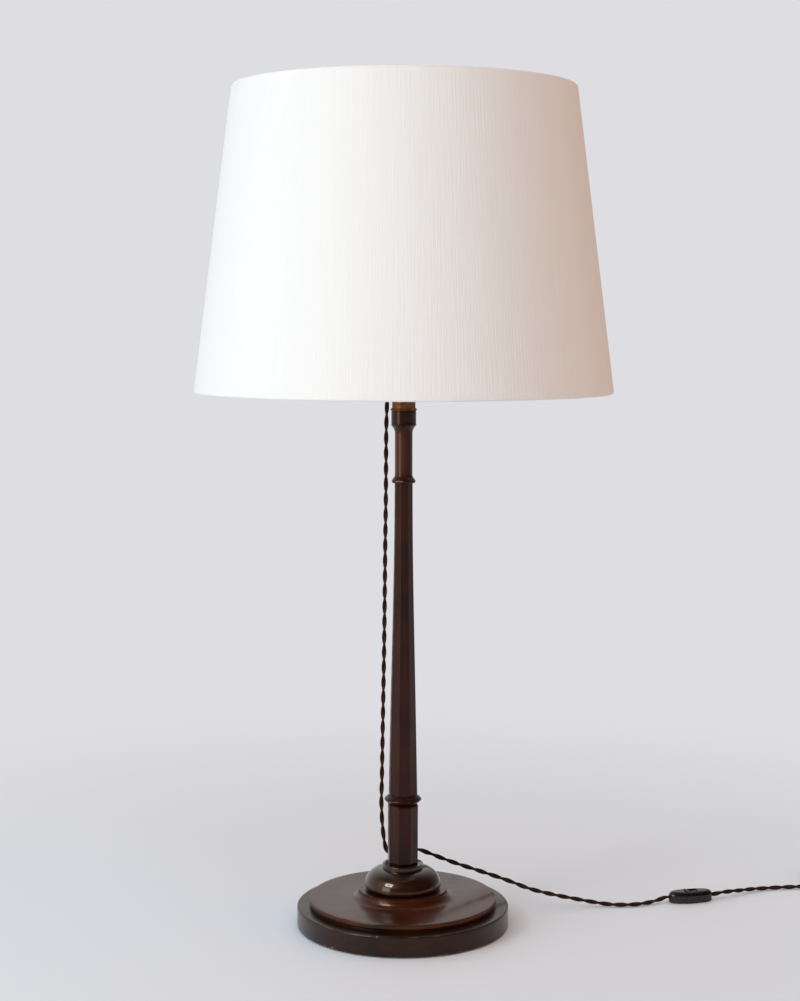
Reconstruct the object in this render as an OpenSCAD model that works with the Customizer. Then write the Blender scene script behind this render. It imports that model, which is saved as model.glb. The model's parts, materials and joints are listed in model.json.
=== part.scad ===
// Table lamp with a stepped round base, a tapered octagonal column and a wide tapered shade.
// Millimetres, +Z up, origin on the floor under the middle of the base.

/* [Base] */
// Thickness of the baize pad under the base
felt_t = 1.2; // [0.8:0.1:2]
// How far the baize stays inside the edge of the lower disc
felt_inset = 4; // [2:0.5:8]
// Radius of the lower base disc
plinth_r = 118.2; // [110:0.2:140]
// Height of the lower base disc
plinth_h = 22.3; // [18:0.1:30]
// Rounding of the lower disc's top edge
plinth_edge = 1.6; // [0.5:0.1:3]
// Radius of the upper base disc
platform_r = 104.2; // [92:0.2:108]
// Height of the upper disc's edge
platform_h = 8.3; // [7:0.1:11]
// Radius of the hollow under the upper disc's edge
platform_cove = 4; // [2:0.1:5]
// Radius of the ledge under the bun
pedestal_r = 49; // [46:0.5:56]
// Rise from the upper disc to the ledge
pedestal_h = 9.7; // [8:0.1:14]

/* [Bun] */
// Greatest radius of the bun
bun_r = 42.6; // [38:0.2:45]
// Height of the bun below its collar
bun_h = 23.5; // [18:0.5:30]
// Radius of the collar on the bun
collar_r = 22.7; // [20:0.1:26]
// Height of the collar
collar_h = 5; // [3:0.5:8]

/* [Column] */
// Width across flats of the octagonal foot
foot_af = 32.1; // [28:0.1:36]
// Height of the octagonal foot
foot_h = 67.2; // [50:0.2:90]
// Greatest radius of the lower ring
ring_r = 20.6; // [18:0.1:24]
// Height of the lower ring
ring_h = 11.9; // [9:0.1:14]
// Width across flats at the bottom of the shaft
shaft_low_af = 30.5; // [26:0.1:34]
// Width across flats at the top of the shaft
shaft_top_af = 19; // [16:0.1:22]
// Height of the tapered shaft
shaft_h = 347.5; // [250:0.5:450]
// How much the shaft's taper is drawn in near two thirds of its height
shaft_draw = 0.13; // [0:0.01:0.2]
// Turn of the octagon about the column's axis
arris_turn = -15.5; // [-22:0.5:22]

/* [Capital] */
// Radius of the upper bead
bead_r = 13.2; // [12:0.1:16]
// Height of the upper bead with the flare above it
bead_h = 9.4; // [8:0.1:12]
// Radius of the neck
neck_r = 9.7; // [8.5:0.1:11]
// Height of the neck
neck_h = 46; // [30:0.5:70]
// Height of the hollow under the cup
cup_cove_h = 8.5; // [6:0.1:12]
// Radius of the cup
cup_r = 13.65; // [13:0.05:16]
// Height of the cup
cup_h = 16.5; // [16:0.1:24]

/* [Wood joints] */
// Radius of the round tenon under the foot
foot_tenon_r = 9; // [7:0.1:11]
// Length of the round tenon under the foot
foot_tenon_l = 14; // [10:0.5:18]
// Radius of the shaft's lower tenon
shaft_tenon_r = 8; // [6:0.1:9]
// Depth of the shaft's lower tenon in the foot
shaft_tenon_l = 16; // [10:0.5:24]
// Radius of the shaft's upper tenon
top_tenon_r = 5; // [4:0.1:6]
// Length of the shaft's upper tenon
top_tenon_l = 15; // [10:0.5:20]
// Radius of the spigot under the bun
bun_spigot_r = 14; // [12:0.5:18]
// Length of the spigot under the bun
bun_spigot_l = 10; // [6:0.5:14]
// Radial clearance of every glued wood joint
glue_gap = 0.05; // [0.02:0.01:0.2]
// Space left at the end of every tenon
tenon_end_gap = 0.3; // [0.1:0.1:1]

/* [Base fixing] */
// Radius of the coach screw
screw_r = 3; // [2.5:0.1:4]
// Depth that the coach screw reaches into the foot
screw_bite = 34; // [20:1:45]
// Width across flats of the coach screw's head
screw_head_af = 11; // [9:0.5:13]
// Height of the coach screw's head
screw_head_h = 4.4; // [3:0.1:5]
// Radius of the washer
washer_r = 10; // [8:0.5:12]
// Thickness of the washer
washer_t = 1.6; // [1:0.1:2.4]
// Depth of the recess for the screw head
recess_depth = 8.8; // [8:0.1:12]
// Room round the washer in its recess
washer_room = 3; // [2:0.5:5]
// Room round the coach screw in the discs and the bun
screw_room = 0.4; // [0.2:0.1:0.8]
// Length of the coach screw's tip
screw_tip_l = 4; // [3:0.5:6]

/* [Lampholder] */
// Radius of the brass flange on the cup
flange_r = 14.6; // [14.2:0.1:17]
// Thickness of the brass flange
flange_t = 2; // [1.5:0.1:3]
// Radius of the lampholder cap at its foot
cap_low_r = 12.8; // [12:0.1:13.4]
// Radius of the lampholder cap at its mouth
cap_r = 16.4; // [16:0.1:18]
// Height of the cap's narrow foot
cap_low_h = 9; // [7:0.5:12]
// Height over which the cap widens
cap_flare_h = 6; // [4:0.5:9]
// Height of the cap's wide part
cap_high_h = 15.5; // [14:0.5:20]
// Sheet thickness of the brass cap
brass_t = 0.9; // [0.7:0.05:1.2]
// Radius of the threaded nipple
nipple_r = 5; // [4:0.1:6]
// Radius of the nipple's bore
nipple_bore_r = 3.2; // [2.5:0.1:3.6]
// Depth of the nipple in the cup
nipple_depth = 13; // [8:0.5:15]
// Height of the nipple inside the cap
nipple_rise = 6; // [4:0.5:8]
// Radius at which the two flange screws stand
flange_screw_pcr = 9.4; // [8.8:0.1:10.2]
// Radius of each flange screw
flange_screw_r = 1.1; // [0.9:0.1:1.3]
// Length of each flange screw
flange_screw_l = 10; // [7:0.5:12]
// Height of the cord entry above the foot of the cap's wide part
entry_rise = 5; // [5:0.1:7]
// Direction of the cord entry, measured from +X
entry_turn = 120; // [100:1:140]
// Radius of the cord entry boss
entry_boss_r = 5.2; // [4.8:0.1:5.4]
// Reach of the cord entry boss beyond the cap
entry_boss_l = 2.6; // [2:0.1:4]
// Radius of the bush's neck
bush_neck_r = 3.5; // [3.2:0.05:4]
// Radius of the bush's rim
bush_rim_r = 4.9; // [4.4:0.1:5.6]
// Thickness of the bush's rim
bush_rim_t = 1.6; // [1:0.1:2.4]
// Depth that the flex reaches into the bush
bush_cord_depth = 2.4; // [1.5:0.1:3]
// Outer radius of the bayonet barrel
barrel_r = 13.9; // [13.4:0.05:14.3]
// Inner radius of the bayonet barrel
barrel_bore_r = 11.3; // [11.25:0.05:12]
// Height of the bayonet barrel above its shoulder
barrel_h = 27.8; // [24:0.1:34]
// Radius of the barrel's shoulder
shoulder_r = 18.5; // [17.5:0.1:20]
// Thickness of the barrel's shoulder
shoulder_t = 2; // [1.5:0.1:3]
// Depth of the barrel's skirt inside the cap
skirt_h = 5.6; // [4:0.1:7]
// Depth of the bayonet slots from the barrel's mouth
slot_depth = 9; // [8:0.1:11]
// Width of the bayonet slots
slot_w = 2.4; // [2.2:0.1:3]
// Angle between the slot's entry and its hook
slot_turn = 20; // [18:1:30]
// Push needed to free the bulb
bulb_push = 2.5; // [1.5:0.1:3]
// Height of the shade ring
shade_ring_h = 8; // [6:0.5:10]
// Radius of the shade ring
shade_ring_r = 18; // [16.5:0.1:18.6]
// Grip notches round the shade ring
shade_ring_notches = 20; // [12:1:30]
// Clearance of sliding and threaded parts, on the radius
run_gap = 0.05; // [0.03:0.01:0.1]
// Clearance between faces of parts that turn on each other
face_gap = 0.2; // [0.1:0.05:0.4]

/* [Lampholder core] */
// Distance of each contact from the axis
contact_x = 5.5; // [5:0.1:6]
// Radius of each spring plunger
plunger_r = 2.3; // [2:0.05:2.6]
// Height of the insulating core above the cap's mouth
core_rise = 11.5; // [10:0.5:12.5]
// Thickness of the core's floor under the springs
core_floor = 5; // [4:0.1:6]
// Length of each contact spring
spring_l = 7; // [6:0.1:8]
// Wire radius of each contact spring
spring_wire_r = 0.3; // [0.2:0.02:0.35]
// Turns of each contact spring
spring_turns = 4; // [3:1:6]
// Radius of each terminal
terminal_r = 2.6; // [2.2:0.1:3]
// Height of each terminal
terminal_h = 8.6; // [7:0.1:9]
// Radius of one insulated core of the flex
core_r = 1.1; // [0.9:0.05:1.2]

/* [Bulb] */
// Radius of the bulb's metal cap
bulb_cap_r = 11; // [10.8:0.05:11.1]
// Height of the bulb's metal cap
bulb_cap_h = 23; // [20:0.5:26]
// Overall length of the bulb
bulb_l = 105; // [95:1:115]
// Greatest radius of the glass
bulb_r = 30; // [27:0.5:32]
// Thickness of the glass
glass_t = 0.7; // [0.5:0.05:1]
// Height of the bayonet pins above the bulb's foot
pin_rise = 6.5; // [6:0.1:7]
// Radius of the bayonet pins
pin_r = 1; // [0.8:0.05:1.1]
// Height of the solder contacts under the bulb
solder_h = 0.75; // [0.5:0.05:1]
// Half the width of the filament
filament_w = 11; // [9:0.5:13]
// Height of the filament above the glass stem
filament_h = 20; // [17:0.5:22]
// Radius of the filament's wire
filament_wire_r = 0.35; // [0.25:0.05:0.45]

/* [Shade carrier] */
// Height from the carrier's collar to the top of its ring
carrier_h = 268; // [250:0.5:320]
// Thickness of the collar
carrier_collar_t = 1.2; // [1:0.1:1.8]
// Outer radius of the collar
carrier_collar_r = 23.4; // [22.5:0.1:26]
// Radius of the carrier's wire
wire_r = 1.6; // [1.2:0.1:1.7]
// Greatest distance of the wires from the axis
carrier_bow = 47; // [42:0.5:52]
// Radius of the ring on top of the carrier
gallery_r = 32; // [30:0.5:33]
// Straight length at the foot of each wire
wire_foot_l = 8; // [6:0.5:12]
// Straight length at the top of each wire
wire_top_l = 9; // [6:0.5:12]
// Number of wires in the carrier
carrier_wires = 3; // [2:1:4]

/* [Shade fitting] */
// Thickness of the ring that rests on the carrier
rest_ring_t = 1.3; // [1:0.1:2]
// Depth of the skirt on the resting ring
rest_skirt_h = 5; // [3:0.5:6]
// Wall of the resting ring's skirt
rest_skirt_t = 1.6; // [1:0.1:2]
// Radius of the two pivot pins
pivot_r = 2; // [1.5:0.1:2.2]
// Inner radius of the band that turns on the pivots
band_r = 44; // [42:0.5:47]
// Thickness of the band
band_t = 1.5; // [1:0.1:2]
// Height of the band
band_h = 9; // [7:0.5:11]
// Number of arms from the band to the top wire
spider_arms_n = 3; // [3:1:5]

/* [Shade] */
// Radius of the shade at its lower edge
shade_low_r = 228.5; // [200:0.5:260]
// Radius of the shade at its upper edge
shade_top_r = 186; // [150:0.5:200]
// Height of the shade
shade_h = 328.5; // [280:0.5:360]
// Depth of the pivots below the shade's upper edge
shade_drop = 46.4; // [30:0.2:60]
// Thickness of the silk with its card
cover_t = 0.8; // [0.5:0.1:1.2]
// Thickness of the lining
lining_t = 0.5; // [0.3:0.1:0.8]
// Radius of the wires in the shade's edges
edge_wire_r = 1.6; // [1.2:0.1:2]
// Depth of the tucked hems
hem_h = 9; // [6:0.5:14]
// Thickness of the silk alone, in the tucked part of the hems
hem_t = 0.6; // [0.4:0.05:0.7]
// Space between the layers of the shade
layer_gap = 0.15; // [0.08:0.01:0.3]

/* [Inline switch] */
// Length of the switch
switch_l = 52; // [48:0.5:60]
// Width of the switch
switch_w = 21; // [18:0.5:26]
// Height of the switch
switch_h = 13; // [12:0.5:16]
// Height of the joint between the two shells
switch_split = 6.5; // [6:0.1:7]
// Length of the rocker
rocker_l = 13.8; // [12:0.2:15]
// Width of the rocker
rocker_w = 9.6; // [8:0.2:10.4]
// Swing of the rocker between on and off
rocker_swing = 20; // [14:1:22]
// Radius of the rocker's pin
rocker_pin_r = 0.9; // [0.7:0.05:1]
// Radius of the switch's two screws
switch_screw_r = 1.2; // [1:0.05:1.4]

/* [Plug] */
// Length of the plug along its cord
plug_l = 50; // [47:0.5:56]
// Width of the plug
plug_w = 49; // [47:0.5:54]
// Thickness of the plug's cover
plug_cover_h = 10.5; // [10:0.1:12]
// Thickness of the plug's base
plug_base_h = 10.5; // [9.5:0.1:13]
// Depth that the flex reaches into the plug
plug_cord_depth = 12; // [10:0.5:13]

/* [Flex] */
// Radius of the twisted flex
flex_r = 2.6; // [2.2:0.1:2.6]
// Room round the flex in the holes of the bush, switch and plug
cord_room = 0.1; // [0.05:0.01:0.2]
// Least radius of the coil, at its middle turn
coil_r = 22; // [20:0.1:26]
// Step from one turn of the coil to the next
coil_step = 5.76; // [5.7:0.01:7]
// Turns in each layer of the coil
coil_turns = 2.5; // [1.5:1:4.5]

/* [Hidden] */
$fn = 48;
cut = 1;                        // how far a cutting solid runs past a face
wood = "#5a2a1a";
brass = "#a8884f";
steel = "#b8bac0";
black = "#1f1b19";
flex_brown = "#2e211b";
silk = "#ece7db";
porcelain = "#e9e4d8";

// Heights of the base and column, from the floor upwards
plinth_z = felt_t;
platform_z = plinth_z + plinth_h;
platform_top = platform_z + platform_h;
bun_z = platform_top + pedestal_h;
collar_z = bun_z + bun_h;
foot_z = collar_z + collar_h;
ring_z = foot_z + foot_h;
shaft_z = ring_z + ring_h;
capital_z = shaft_z + shaft_h;
neck_z = capital_z + bead_h;
cup_cove_z = neck_z + neck_h;
cup_z = cup_cove_z + cup_cove_h;
holder_z = cup_z + cup_h;

// Heights in the lampholder
cap_z = holder_z + flange_t;
cap_wide_z = cap_z + cap_low_h + cap_flare_h;
cap_top = cap_wide_z + cap_high_h;
entry_z = cap_wide_z + entry_rise;
entry_face = cap_r + entry_boss_l;
shoulder_z = cap_top + face_gap;
shoulder_top = shoulder_z + shoulder_t;
barrel_top = shoulder_top + barrel_h;
skirt_r = cap_r - brass_t - run_gap;
skirt_z = cap_top - skirt_h;
core_top = cap_top + core_rise;
spring_z = skirt_z + core_floor;
plunger_z = spring_z + spring_l;
pin_z = barrel_top - slot_depth + slot_w / 2 + bulb_push;
bulb_z = pin_z - pin_rise;
bulb_top = bulb_z + bulb_l;
glass_z = bulb_top - bulb_r;
bulb_cap_top = bulb_z + bulb_cap_h;

// Heights of the carrier and shade
carrier_z = shoulder_top + face_gap;
carrier_top = carrier_z + carrier_h;
gallery_z = carrier_top - wire_r;
shade_ring_z = carrier_z + carrier_collar_t + face_gap;
rest_z = carrier_top + run_gap;
skirt_in_r = gallery_r + wire_r + 0.6;
skirt_out_r = skirt_in_r + rest_skirt_t;
pivot_z = rest_z + rest_ring_t - rest_skirt_h / 2 - 0.9;
shade_top_z = pivot_z + shade_drop;
shade_low_z = shade_top_z - shade_h;
roll_r = edge_wire_r + layer_gap + cover_t;
hem_turn = 250;
top_wire_z = shade_top_z - roll_r;
low_wire_z = shade_low_z + roll_r;

// Places of the switch and the plug on the floor
switch_at = [336, 84, 0];
switch_yaw = 12;
switch_bore_depth = 4;
plug_at = [600, 144, 0];
plug_yaw = 8;

// Middle line of the flex from the lampholder to the switch
route_main = [
    [-9.1, 15.8, 599], [-13, 22.5, 599], [-16.7, 28.9, 596], [-18.2, 31.5, 588.6],
    [-18.7, 31.6, 578], [-19.4, 31.3, 550], [-19.6, 31, 510], [-19.8, 30.6, 470], [-20.3, 30, 430],
    [-20.9, 29.2, 362], [-21.5, 28.4, 306], [-22.4, 27.4, 249], [-23.1, 26.4, 203],
    [-23.8, 25.5, 158], [-24.3, 24.8, 135], [-23.5, 24, 112], [-22.2, 23.4, 98], [-20.6, 22.9, 86],
    [-17.6, 22.4, 76.8], [-11.5, 22.2, 73.3], [-4, 22.4, 72.9], [6, 25.6, 74.6], [17, 30, 76.4],
    [31, 33, 71], [56, 37, 60.2], [90, 41.4, 47.6], [119, 45, 36.6], [146, 49, 25.2],
    [172, 54.4, 17], [204, 60.2, 9], [228, 61.8, 4.4], [242, 61.2, 3], [257, 60.6, 2.8],
    [274, 63.8, 2.8], [292, 71.4, 3.6], [305.4, 77.5, 6.3], [310, 78.5, 6.5], [314.3, 79.4, 6.5]];
// Middle line of the flex from the switch to the coil
route_lead = [
    [357.7, 88.6, 6.5], [362, 89.5, 6.5], [366.6, 90.6, 6.8], [376, 95, 7.2], [387, 101, 6.6],
    [399, 108.4, 5.3], [412, 116.4, 4.2], [427, 123.4, 3.1], [443, 127.6, 2.8], [472, 131.9, 2.8],
    [496, 134.8, 2.8], [510, 135.6, 2.8], [516, 135.6, 2.8]];
// Middle line of the flex from the coil to the plug
route_tail = [
    [532, 135.6, 8.56], [538, 135.6, 8.56], [552, 136.6, 9.5], [567, 139.3, 10.4],
    [576, 140.6, 10.5], [587.1, 142.2, 10.5]];
coil_start_x = 516;
coil_x = 524;
coil_y = 172;
coil_z = 2.8;
coil_layer = coil_step;

// Points of an arc in the plane of a profile
function arc(x, z, r, a0, a1, n) =
    [for (i = [0:n]) let (a = a0 + (a1 - a0) * i / n) [x + r * cos(a), z + r * sin(a)]];
function unit(v) = v / norm(v);
function blend(a, b, t) = a + (b - a) * t;
// Smooth curve through four route points, between the middle two
function spline(p, i, t) =
    let (n = len(p) - 1,
         b = p[i], c = p[i + 1],
         a = i > 0 ? p[i - 1] : 2 * b - c,
         d = i + 2 <= n ? p[i + 2] : 2 * c - b)
    0.5 * (2 * b + (c - a) * t + (2 * a - 5 * b + 4 * c - d) * t * t
           + (3 * b - a - 3 * c + d) * t * t * t);
function steps(p, i, step) = max(1, round(norm(p[i + 1] - p[i]) / step));
function smooth(p, step) = concat(
    [for (i = [0:len(p) - 2]) for (k = [0:steps(p, i, step) - 1]) spline(p, i, k / steps(p, i, step))],
    [p[len(p) - 1]]);
function heading(p, i) = unit(p[min(i + 1, len(p) - 1)] - p[max(i - 1, 0)]);
function across(v, t) = unit(v - (v * t) * t);
// Directions square to a path, carried along it without twist
function carried(p, v, i = 0) =
    i == len(p) ? [] : let (w = across(v, heading(p, i))) concat([w], carried(p, w, i + 1));
function hoop(c, u, v, r, sides) =
    [for (k = [0:sides - 1]) let (a = 360 * k / sides) c + r * (cos(a) * u + sin(a) * v)];

// Closed skin over rings of equally many points
module skin(rings) {
    n = len(rings[0]);
    m = len(rings);
    points = [for (ring = rings) for (p = ring) p];
    sides = [for (i = [0:m - 2]) for (k = [0:n - 1]) let (a = i * n + k, b = i * n + (k + 1) % n)
        each [[a, a + n, b + n], [a, b + n, b]]];
    bottom = [for (k = [1:n - 2]) [0, k, k + 1]];
    top = [for (k = [1:n - 2]) [(m - 1) * n, (m - 1) * n + k + 1, (m - 1) * n + k]];
    polyhedron(points, concat(sides, bottom, top), convexity = 6);
}

// Round tube along a list of points
module tube(path, r, sides) {
    frames = carried(path, [0.3, 0.5, 0.8]);
    skin([for (i = [0:len(path) - 1])
        hoop(path[i], frames[i], cross(heading(path, i), frames[i]), r, sides)]);
}

module turned(points) rotate_extrude() polygon(points);
module octagon(af, h) rotate(270 + arris_turn) cylinder(d = af / cos(22.5), h = h, $fn = 8);
// Turns +Z of its children outwards at an angle and a height
module outward(turn, z) translate([0, 0, z]) rotate([0, 0, turn]) rotate([0, 90, 0]) children();
module lifted(z) translate([0, 0, z]) children();
module around(n, start) for (i = [0:n - 1]) rotate(start + 360 * i / n) children();
module sides_x(x) for (s = [-1, 1]) translate([s * x, 0, 0]) children();

module base_felt() color("#39523f") cylinder(r = plinth_r - felt_inset, h = felt_t);

module base_plinth() color(wood) difference() {
    turned(concat([[0, plinth_z], [plinth_r - 0.8, plinth_z], [plinth_r, plinth_z + 0.8]],
        arc(plinth_r - plinth_edge, platform_z - plinth_edge, plinth_edge, 0, 90, 6),
        [[0, platform_z]]));
    lifted(plinth_z - cut) cylinder(r = washer_r + washer_room, h = recess_depth + cut);
    lifted(plinth_z) cylinder(r = screw_r + screw_room, h = plinth_h + cut);
}

module base_platform() color(wood) difference() {
    foot_r = platform_r - platform_cove - 0.6;
    cove_top = platform_z + platform_cove;
    turned(concat([[0, platform_z], [foot_r, platform_z]],
        arc(foot_r + platform_cove, platform_z, platform_cove, 180, 90, 6),
        [[platform_r, cove_top + 0.5]],
        arc(platform_r - 1, platform_top - 1, 1, 0, 90, 5),
        arc(pedestal_r + pedestal_h - 1, bun_z - 1, pedestal_h - 1, 270, 180, 10),
        [[pedestal_r, bun_z - 0.3], [pedestal_r - 0.4, bun_z], [0, bun_z]]));
    lifted(platform_z - cut) cylinder(r = screw_r + screw_room, h = bun_z - platform_z + 2 * cut);
    lifted(bun_z - bun_spigot_l - tenon_end_gap)
        cylinder(r = bun_spigot_r + glue_gap, h = bun_spigot_l + cut);
}

module base_bun() color(wood) difference() {
    wide_z = bun_z + 4;
    swell = bun_r - collar_r;
    union() {
        turned(concat([[0, bun_z]],
            [for (a = [-40:10:0])
                [collar_r + swell * cos(a), wide_z + (wide_z - bun_z) * sin(a) / sin(40)]],
            [for (a = [7.5:7.5:90])
                [collar_r + swell * cos(a), wide_z + (collar_z - wide_z) * sin(a)]],
            [[collar_r, foot_z - 0.8], [collar_r - 0.8, foot_z], [0, foot_z]]));
        lifted(bun_z - bun_spigot_l) cylinder(r = bun_spigot_r, h = bun_spigot_l + cut);
    }
    lifted(bun_z - bun_spigot_l - cut)
        cylinder(r = screw_r + screw_room, h = foot_z - bun_z + bun_spigot_l + 2 * cut);
    lifted(foot_z - foot_tenon_l - tenon_end_gap)
        cylinder(r = foot_tenon_r + glue_gap, h = foot_tenon_l + tenon_end_gap + cut);
}

washer_z = plinth_z + recess_depth - washer_t;
screw_top = foot_z - foot_tenon_l + screw_bite;

module base_washer() color(steel) lifted(washer_z) difference() {
    cylinder(r = washer_r, h = washer_t);
    lifted(-cut) cylinder(r = screw_r + screw_room / 2, h = washer_t + 2 * cut);
}

module base_screw() color(steel) {
    lifted(washer_z - screw_head_h)
        cylinder(d = screw_head_af / cos(30), h = screw_head_h, $fn = 6);
    lifted(washer_z) cylinder(r = screw_r, h = screw_top - screw_tip_l - washer_z);
    lifted(screw_top - screw_tip_l) cylinder(r1 = screw_r, r2 = screw_r / 5, h = screw_tip_l);
}

module column_foot() color(wood) difference() {
    union() {
        lifted(foot_z) octagon(foot_af, foot_h);
        lifted(foot_z - foot_tenon_l) cylinder(r = foot_tenon_r, h = foot_tenon_l + cut);
    }
    lifted(foot_z - foot_tenon_l - cut)
        cylinder(r = screw_r + run_gap, h = screw_bite + tenon_end_gap + cut);
    lifted(ring_z - shaft_tenon_l - tenon_end_gap)
        cylinder(r = shaft_tenon_r + glue_gap, h = shaft_tenon_l + tenon_end_gap + cut);
}

module lower_ring() color(wood) difference() {
    nose = 1.8;
    mid = ring_z + ring_h / 2;
    reach = ring_h / 2;
    turned(concat([[0, ring_z], [ring_r - reach, ring_z]],
        arc(ring_r - nose, mid, nose, -45, 45, 6),
        [[ring_r - reach, shaft_z], [0, shaft_z]]));
    lifted(ring_z - cut) cylinder(r = shaft_tenon_r + glue_gap, h = ring_h + 2 * cut);
}

function shaft_af(t) = blend(shaft_low_af, shaft_top_af, t + shaft_draw * sin(180 * t * t));

module column_shaft() color(wood) {
    skin([for (i = [0:12]) let (t = i / 12, r = shaft_af(t) / 2 / cos(22.5))
        [for (k = [0:7]) let (a = 270 + arris_turn + 45 * k)
            [r * cos(a), r * sin(a), shaft_z + shaft_h * t]]]);
    lifted(ring_z - shaft_tenon_l) cylinder(r = shaft_tenon_r, h = shaft_tenon_l + ring_h + cut);
    lifted(capital_z - cut) cylinder(r = top_tenon_r, h = top_tenon_l + cut);
}

module capital() color(wood) difference() {
    nose = 2.1;
    flare_z = capital_z + 2 * nose + 0.4;
    turned(concat([[0, capital_z], [bead_r - nose, capital_z]],
        arc(bead_r - nose, capital_z + nose + 0.2, nose, -70, 60, 8),
        [for (t = [0:0.2:1])
            [neck_r + (bead_r - 0.9 - neck_r) * pow(1 - t, 2), blend(flare_z, neck_z, t)]],
        [for (t = [0:0.2:1])
            [neck_r + (cup_r - 0.5 - neck_r) * t * t, blend(cup_cove_z, cup_z - 0.8, t)]],
        [[cup_r + 0.25, cup_z], [cup_r, cup_z + 1.2]],
        arc(cup_r - 0.8, holder_z - 0.8, 0.8, 0, 90, 4),
        [[0, holder_z]]));
    lifted(capital_z - cut)
        cylinder(r = top_tenon_r + glue_gap, h = top_tenon_l + tenon_end_gap + cut);
    lifted(holder_z - nipple_depth - tenon_end_gap)
        cylinder(r = nipple_r + run_gap, h = nipple_depth + tenon_end_gap + cut);
    sides_x(flange_screw_pcr) lifted(holder_z - flange_screw_l)
        cylinder(r = flange_screw_r + run_gap, h = flange_screw_l + cut);
}

module holder_flange() color(brass) difference() {
    turned([[0, holder_z], [flange_r, holder_z], [flange_r, holder_z + 0.7],
        [flange_r - 1, cap_z], [0, cap_z]]);
    lifted(holder_z - cut) cylinder(r = nipple_r + run_gap, h = flange_t + 2 * cut);
    hole_r = flange_screw_r + run_gap;
    sides_x(flange_screw_pcr) lifted(holder_z - cut) cylinder(r = hole_r, h = flange_t + 2 * cut);
    sides_x(flange_screw_pcr) lifted(cap_z - hole_r)
        cylinder(r1 = hole_r, r2 = 2 * hole_r + cut, h = hole_r + cut);
}

module flange_screws() color(brass) sides_x(flange_screw_pcr) {
    lifted(holder_z - flange_screw_l + 2.4)
        cylinder(r = flange_screw_r, h = flange_screw_l - 2.4 + cut);
    lifted(holder_z - flange_screw_l + 0.4) cylinder(r1 = 0.2, r2 = flange_screw_r, h = 2);
    lifted(cap_z - flange_screw_r - run_gap)
        cylinder(r1 = flange_screw_r, r2 = 2 * flange_screw_r, h = flange_screw_r);
}

module holder_nipple() color(brass) lifted(holder_z - nipple_depth) difference() {
    cylinder(r = nipple_r, h = nipple_depth + flange_t + nipple_rise);
    lifted(-cut) cylinder(r = nipple_bore_r, h = nipple_depth + flange_t + nipple_rise + 2 * cut);
}

// Solid inside a wall, from the cap's floor to its mouth
module cap_form(inset, floor_z, top_z) turned([[0, floor_z], [cap_low_r - inset, floor_z],
    [cap_low_r - inset, cap_z + cap_low_h], [cap_r - inset, cap_wide_z],
    [cap_r - inset, top_z], [0, top_z]]);

module holder_cap() color(brass) difference() {
    union() {
        cap_form(0, cap_z, cap_top);
        outward(entry_turn, entry_z) lifted(cap_low_r)
            cylinder(r = entry_boss_r, h = entry_face - cap_low_r);
    }
    cap_form(brass_t, cap_z + 1.5, cap_top + cut);
    lifted(cap_z - cut) cylinder(r = nipple_r + run_gap, h = 4);
    outward(entry_turn, entry_z) lifted(cap_low_r)
        cylinder(r = bush_neck_r + run_gap, h = entry_face);
}

bush_in = cap_r - brass_t + 0.3;
bush_face = entry_face + bush_rim_t;

module entry_bush() color(black) outward(entry_turn, entry_z) difference() {
    union() {
        lifted(bush_in) cylinder(r = bush_neck_r, h = bush_face - bush_in);
        lifted(entry_face) cylinder(r = bush_rim_r, h = bush_rim_t);
    }
    lifted(bush_face - bush_cord_depth) cylinder(r = flex_r + cord_room, h = bush_cord_depth + cut);
    for (s = [-1, 1]) translate([0, s * flex_r / 2, bush_in - cut])
        cylinder(r = core_r + run_gap, h = 6, $fn = 24);
}

module holder_core() color(porcelain) difference() {
    union() {
        lifted(skirt_z) cylinder(r = barrel_bore_r - run_gap, h = core_top - skirt_z);
        lifted(skirt_z) cylinder(r = skirt_r - brass_t - run_gap, h = 3);
    }
    sides_x(contact_x) lifted(spring_z)
        cylinder(r = plunger_r + run_gap, h = core_top - spring_z + cut);
    sides_x(contact_x) lifted(skirt_z - cut)
        cylinder(r = rivet_r + run_gap, h = core_floor + 2 * cut);
}

rivet_r = 1.2;                  // stem of each terminal through the core's floor
clamp_r = 0.8;                  // thread of each terminal's clamping screw
terminal_z = skirt_z - terminal_h;
wire_hole_z = terminal_z + 3.4;

module holder_terminals() color(brass) sides_x(contact_x) difference() {
    union() {
        lifted(terminal_z) cylinder(r = terminal_r, h = terminal_h);
        lifted(skirt_z - cut) cylinder(r = rivet_r, h = core_floor + cut);
    }
    translate([0, terminal_r - 1.1, wire_hole_z]) rotate([-90, 0, 0])
        cylinder(r = core_r + run_gap, h = 3);
    lifted(terminal_z - cut) cylinder(r = clamp_r + run_gap, h = 4);
}

module terminal_screws() color(steel) sides_x(contact_x) {
    lifted(terminal_z - 1.4) cylinder(r = 1.7, h = 1.4);
    lifted(terminal_z) cylinder(r = clamp_r, h = 2.6);
}

// The flex's two cores, from the bush to the terminals
module lead_tails() color(flex_brown) for (s = [-1, 1]) {
    out = [cos(entry_turn), sin(entry_turn), 0];
    side = [-sin(entry_turn), cos(entry_turn), 0];
    start = out * (bush_in + 1.4) - s * side * flex_r / 2 + [0, 0, entry_z];
    target = [s * contact_x, terminal_r - 1, wire_hole_z];
    tube(smooth([start, start - out * 2.4, blend(start - out * 4, target + [0, 4.4, 0], 0.5),
        target + [0, 3, 0], target], 3), core_r, 8);
}

// Open coil of round wire between two heights
module spring(z0, z1, r, wire, turns) {
    low = z0 + wire + 0.05;
    high = z1 - wire - 0.05;
    tube([for (i = [0:8 * turns]) let (a = 45 * i)
        [r * cos(a), r * sin(a), blend(low, high, i / (8 * turns))]], wire, 6);
}

module contact_springs() color(steel) sides_x(contact_x)
    spring(spring_z, plunger_z, plunger_r - spring_wire_r - 0.25, spring_wire_r, spring_turns);

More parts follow.
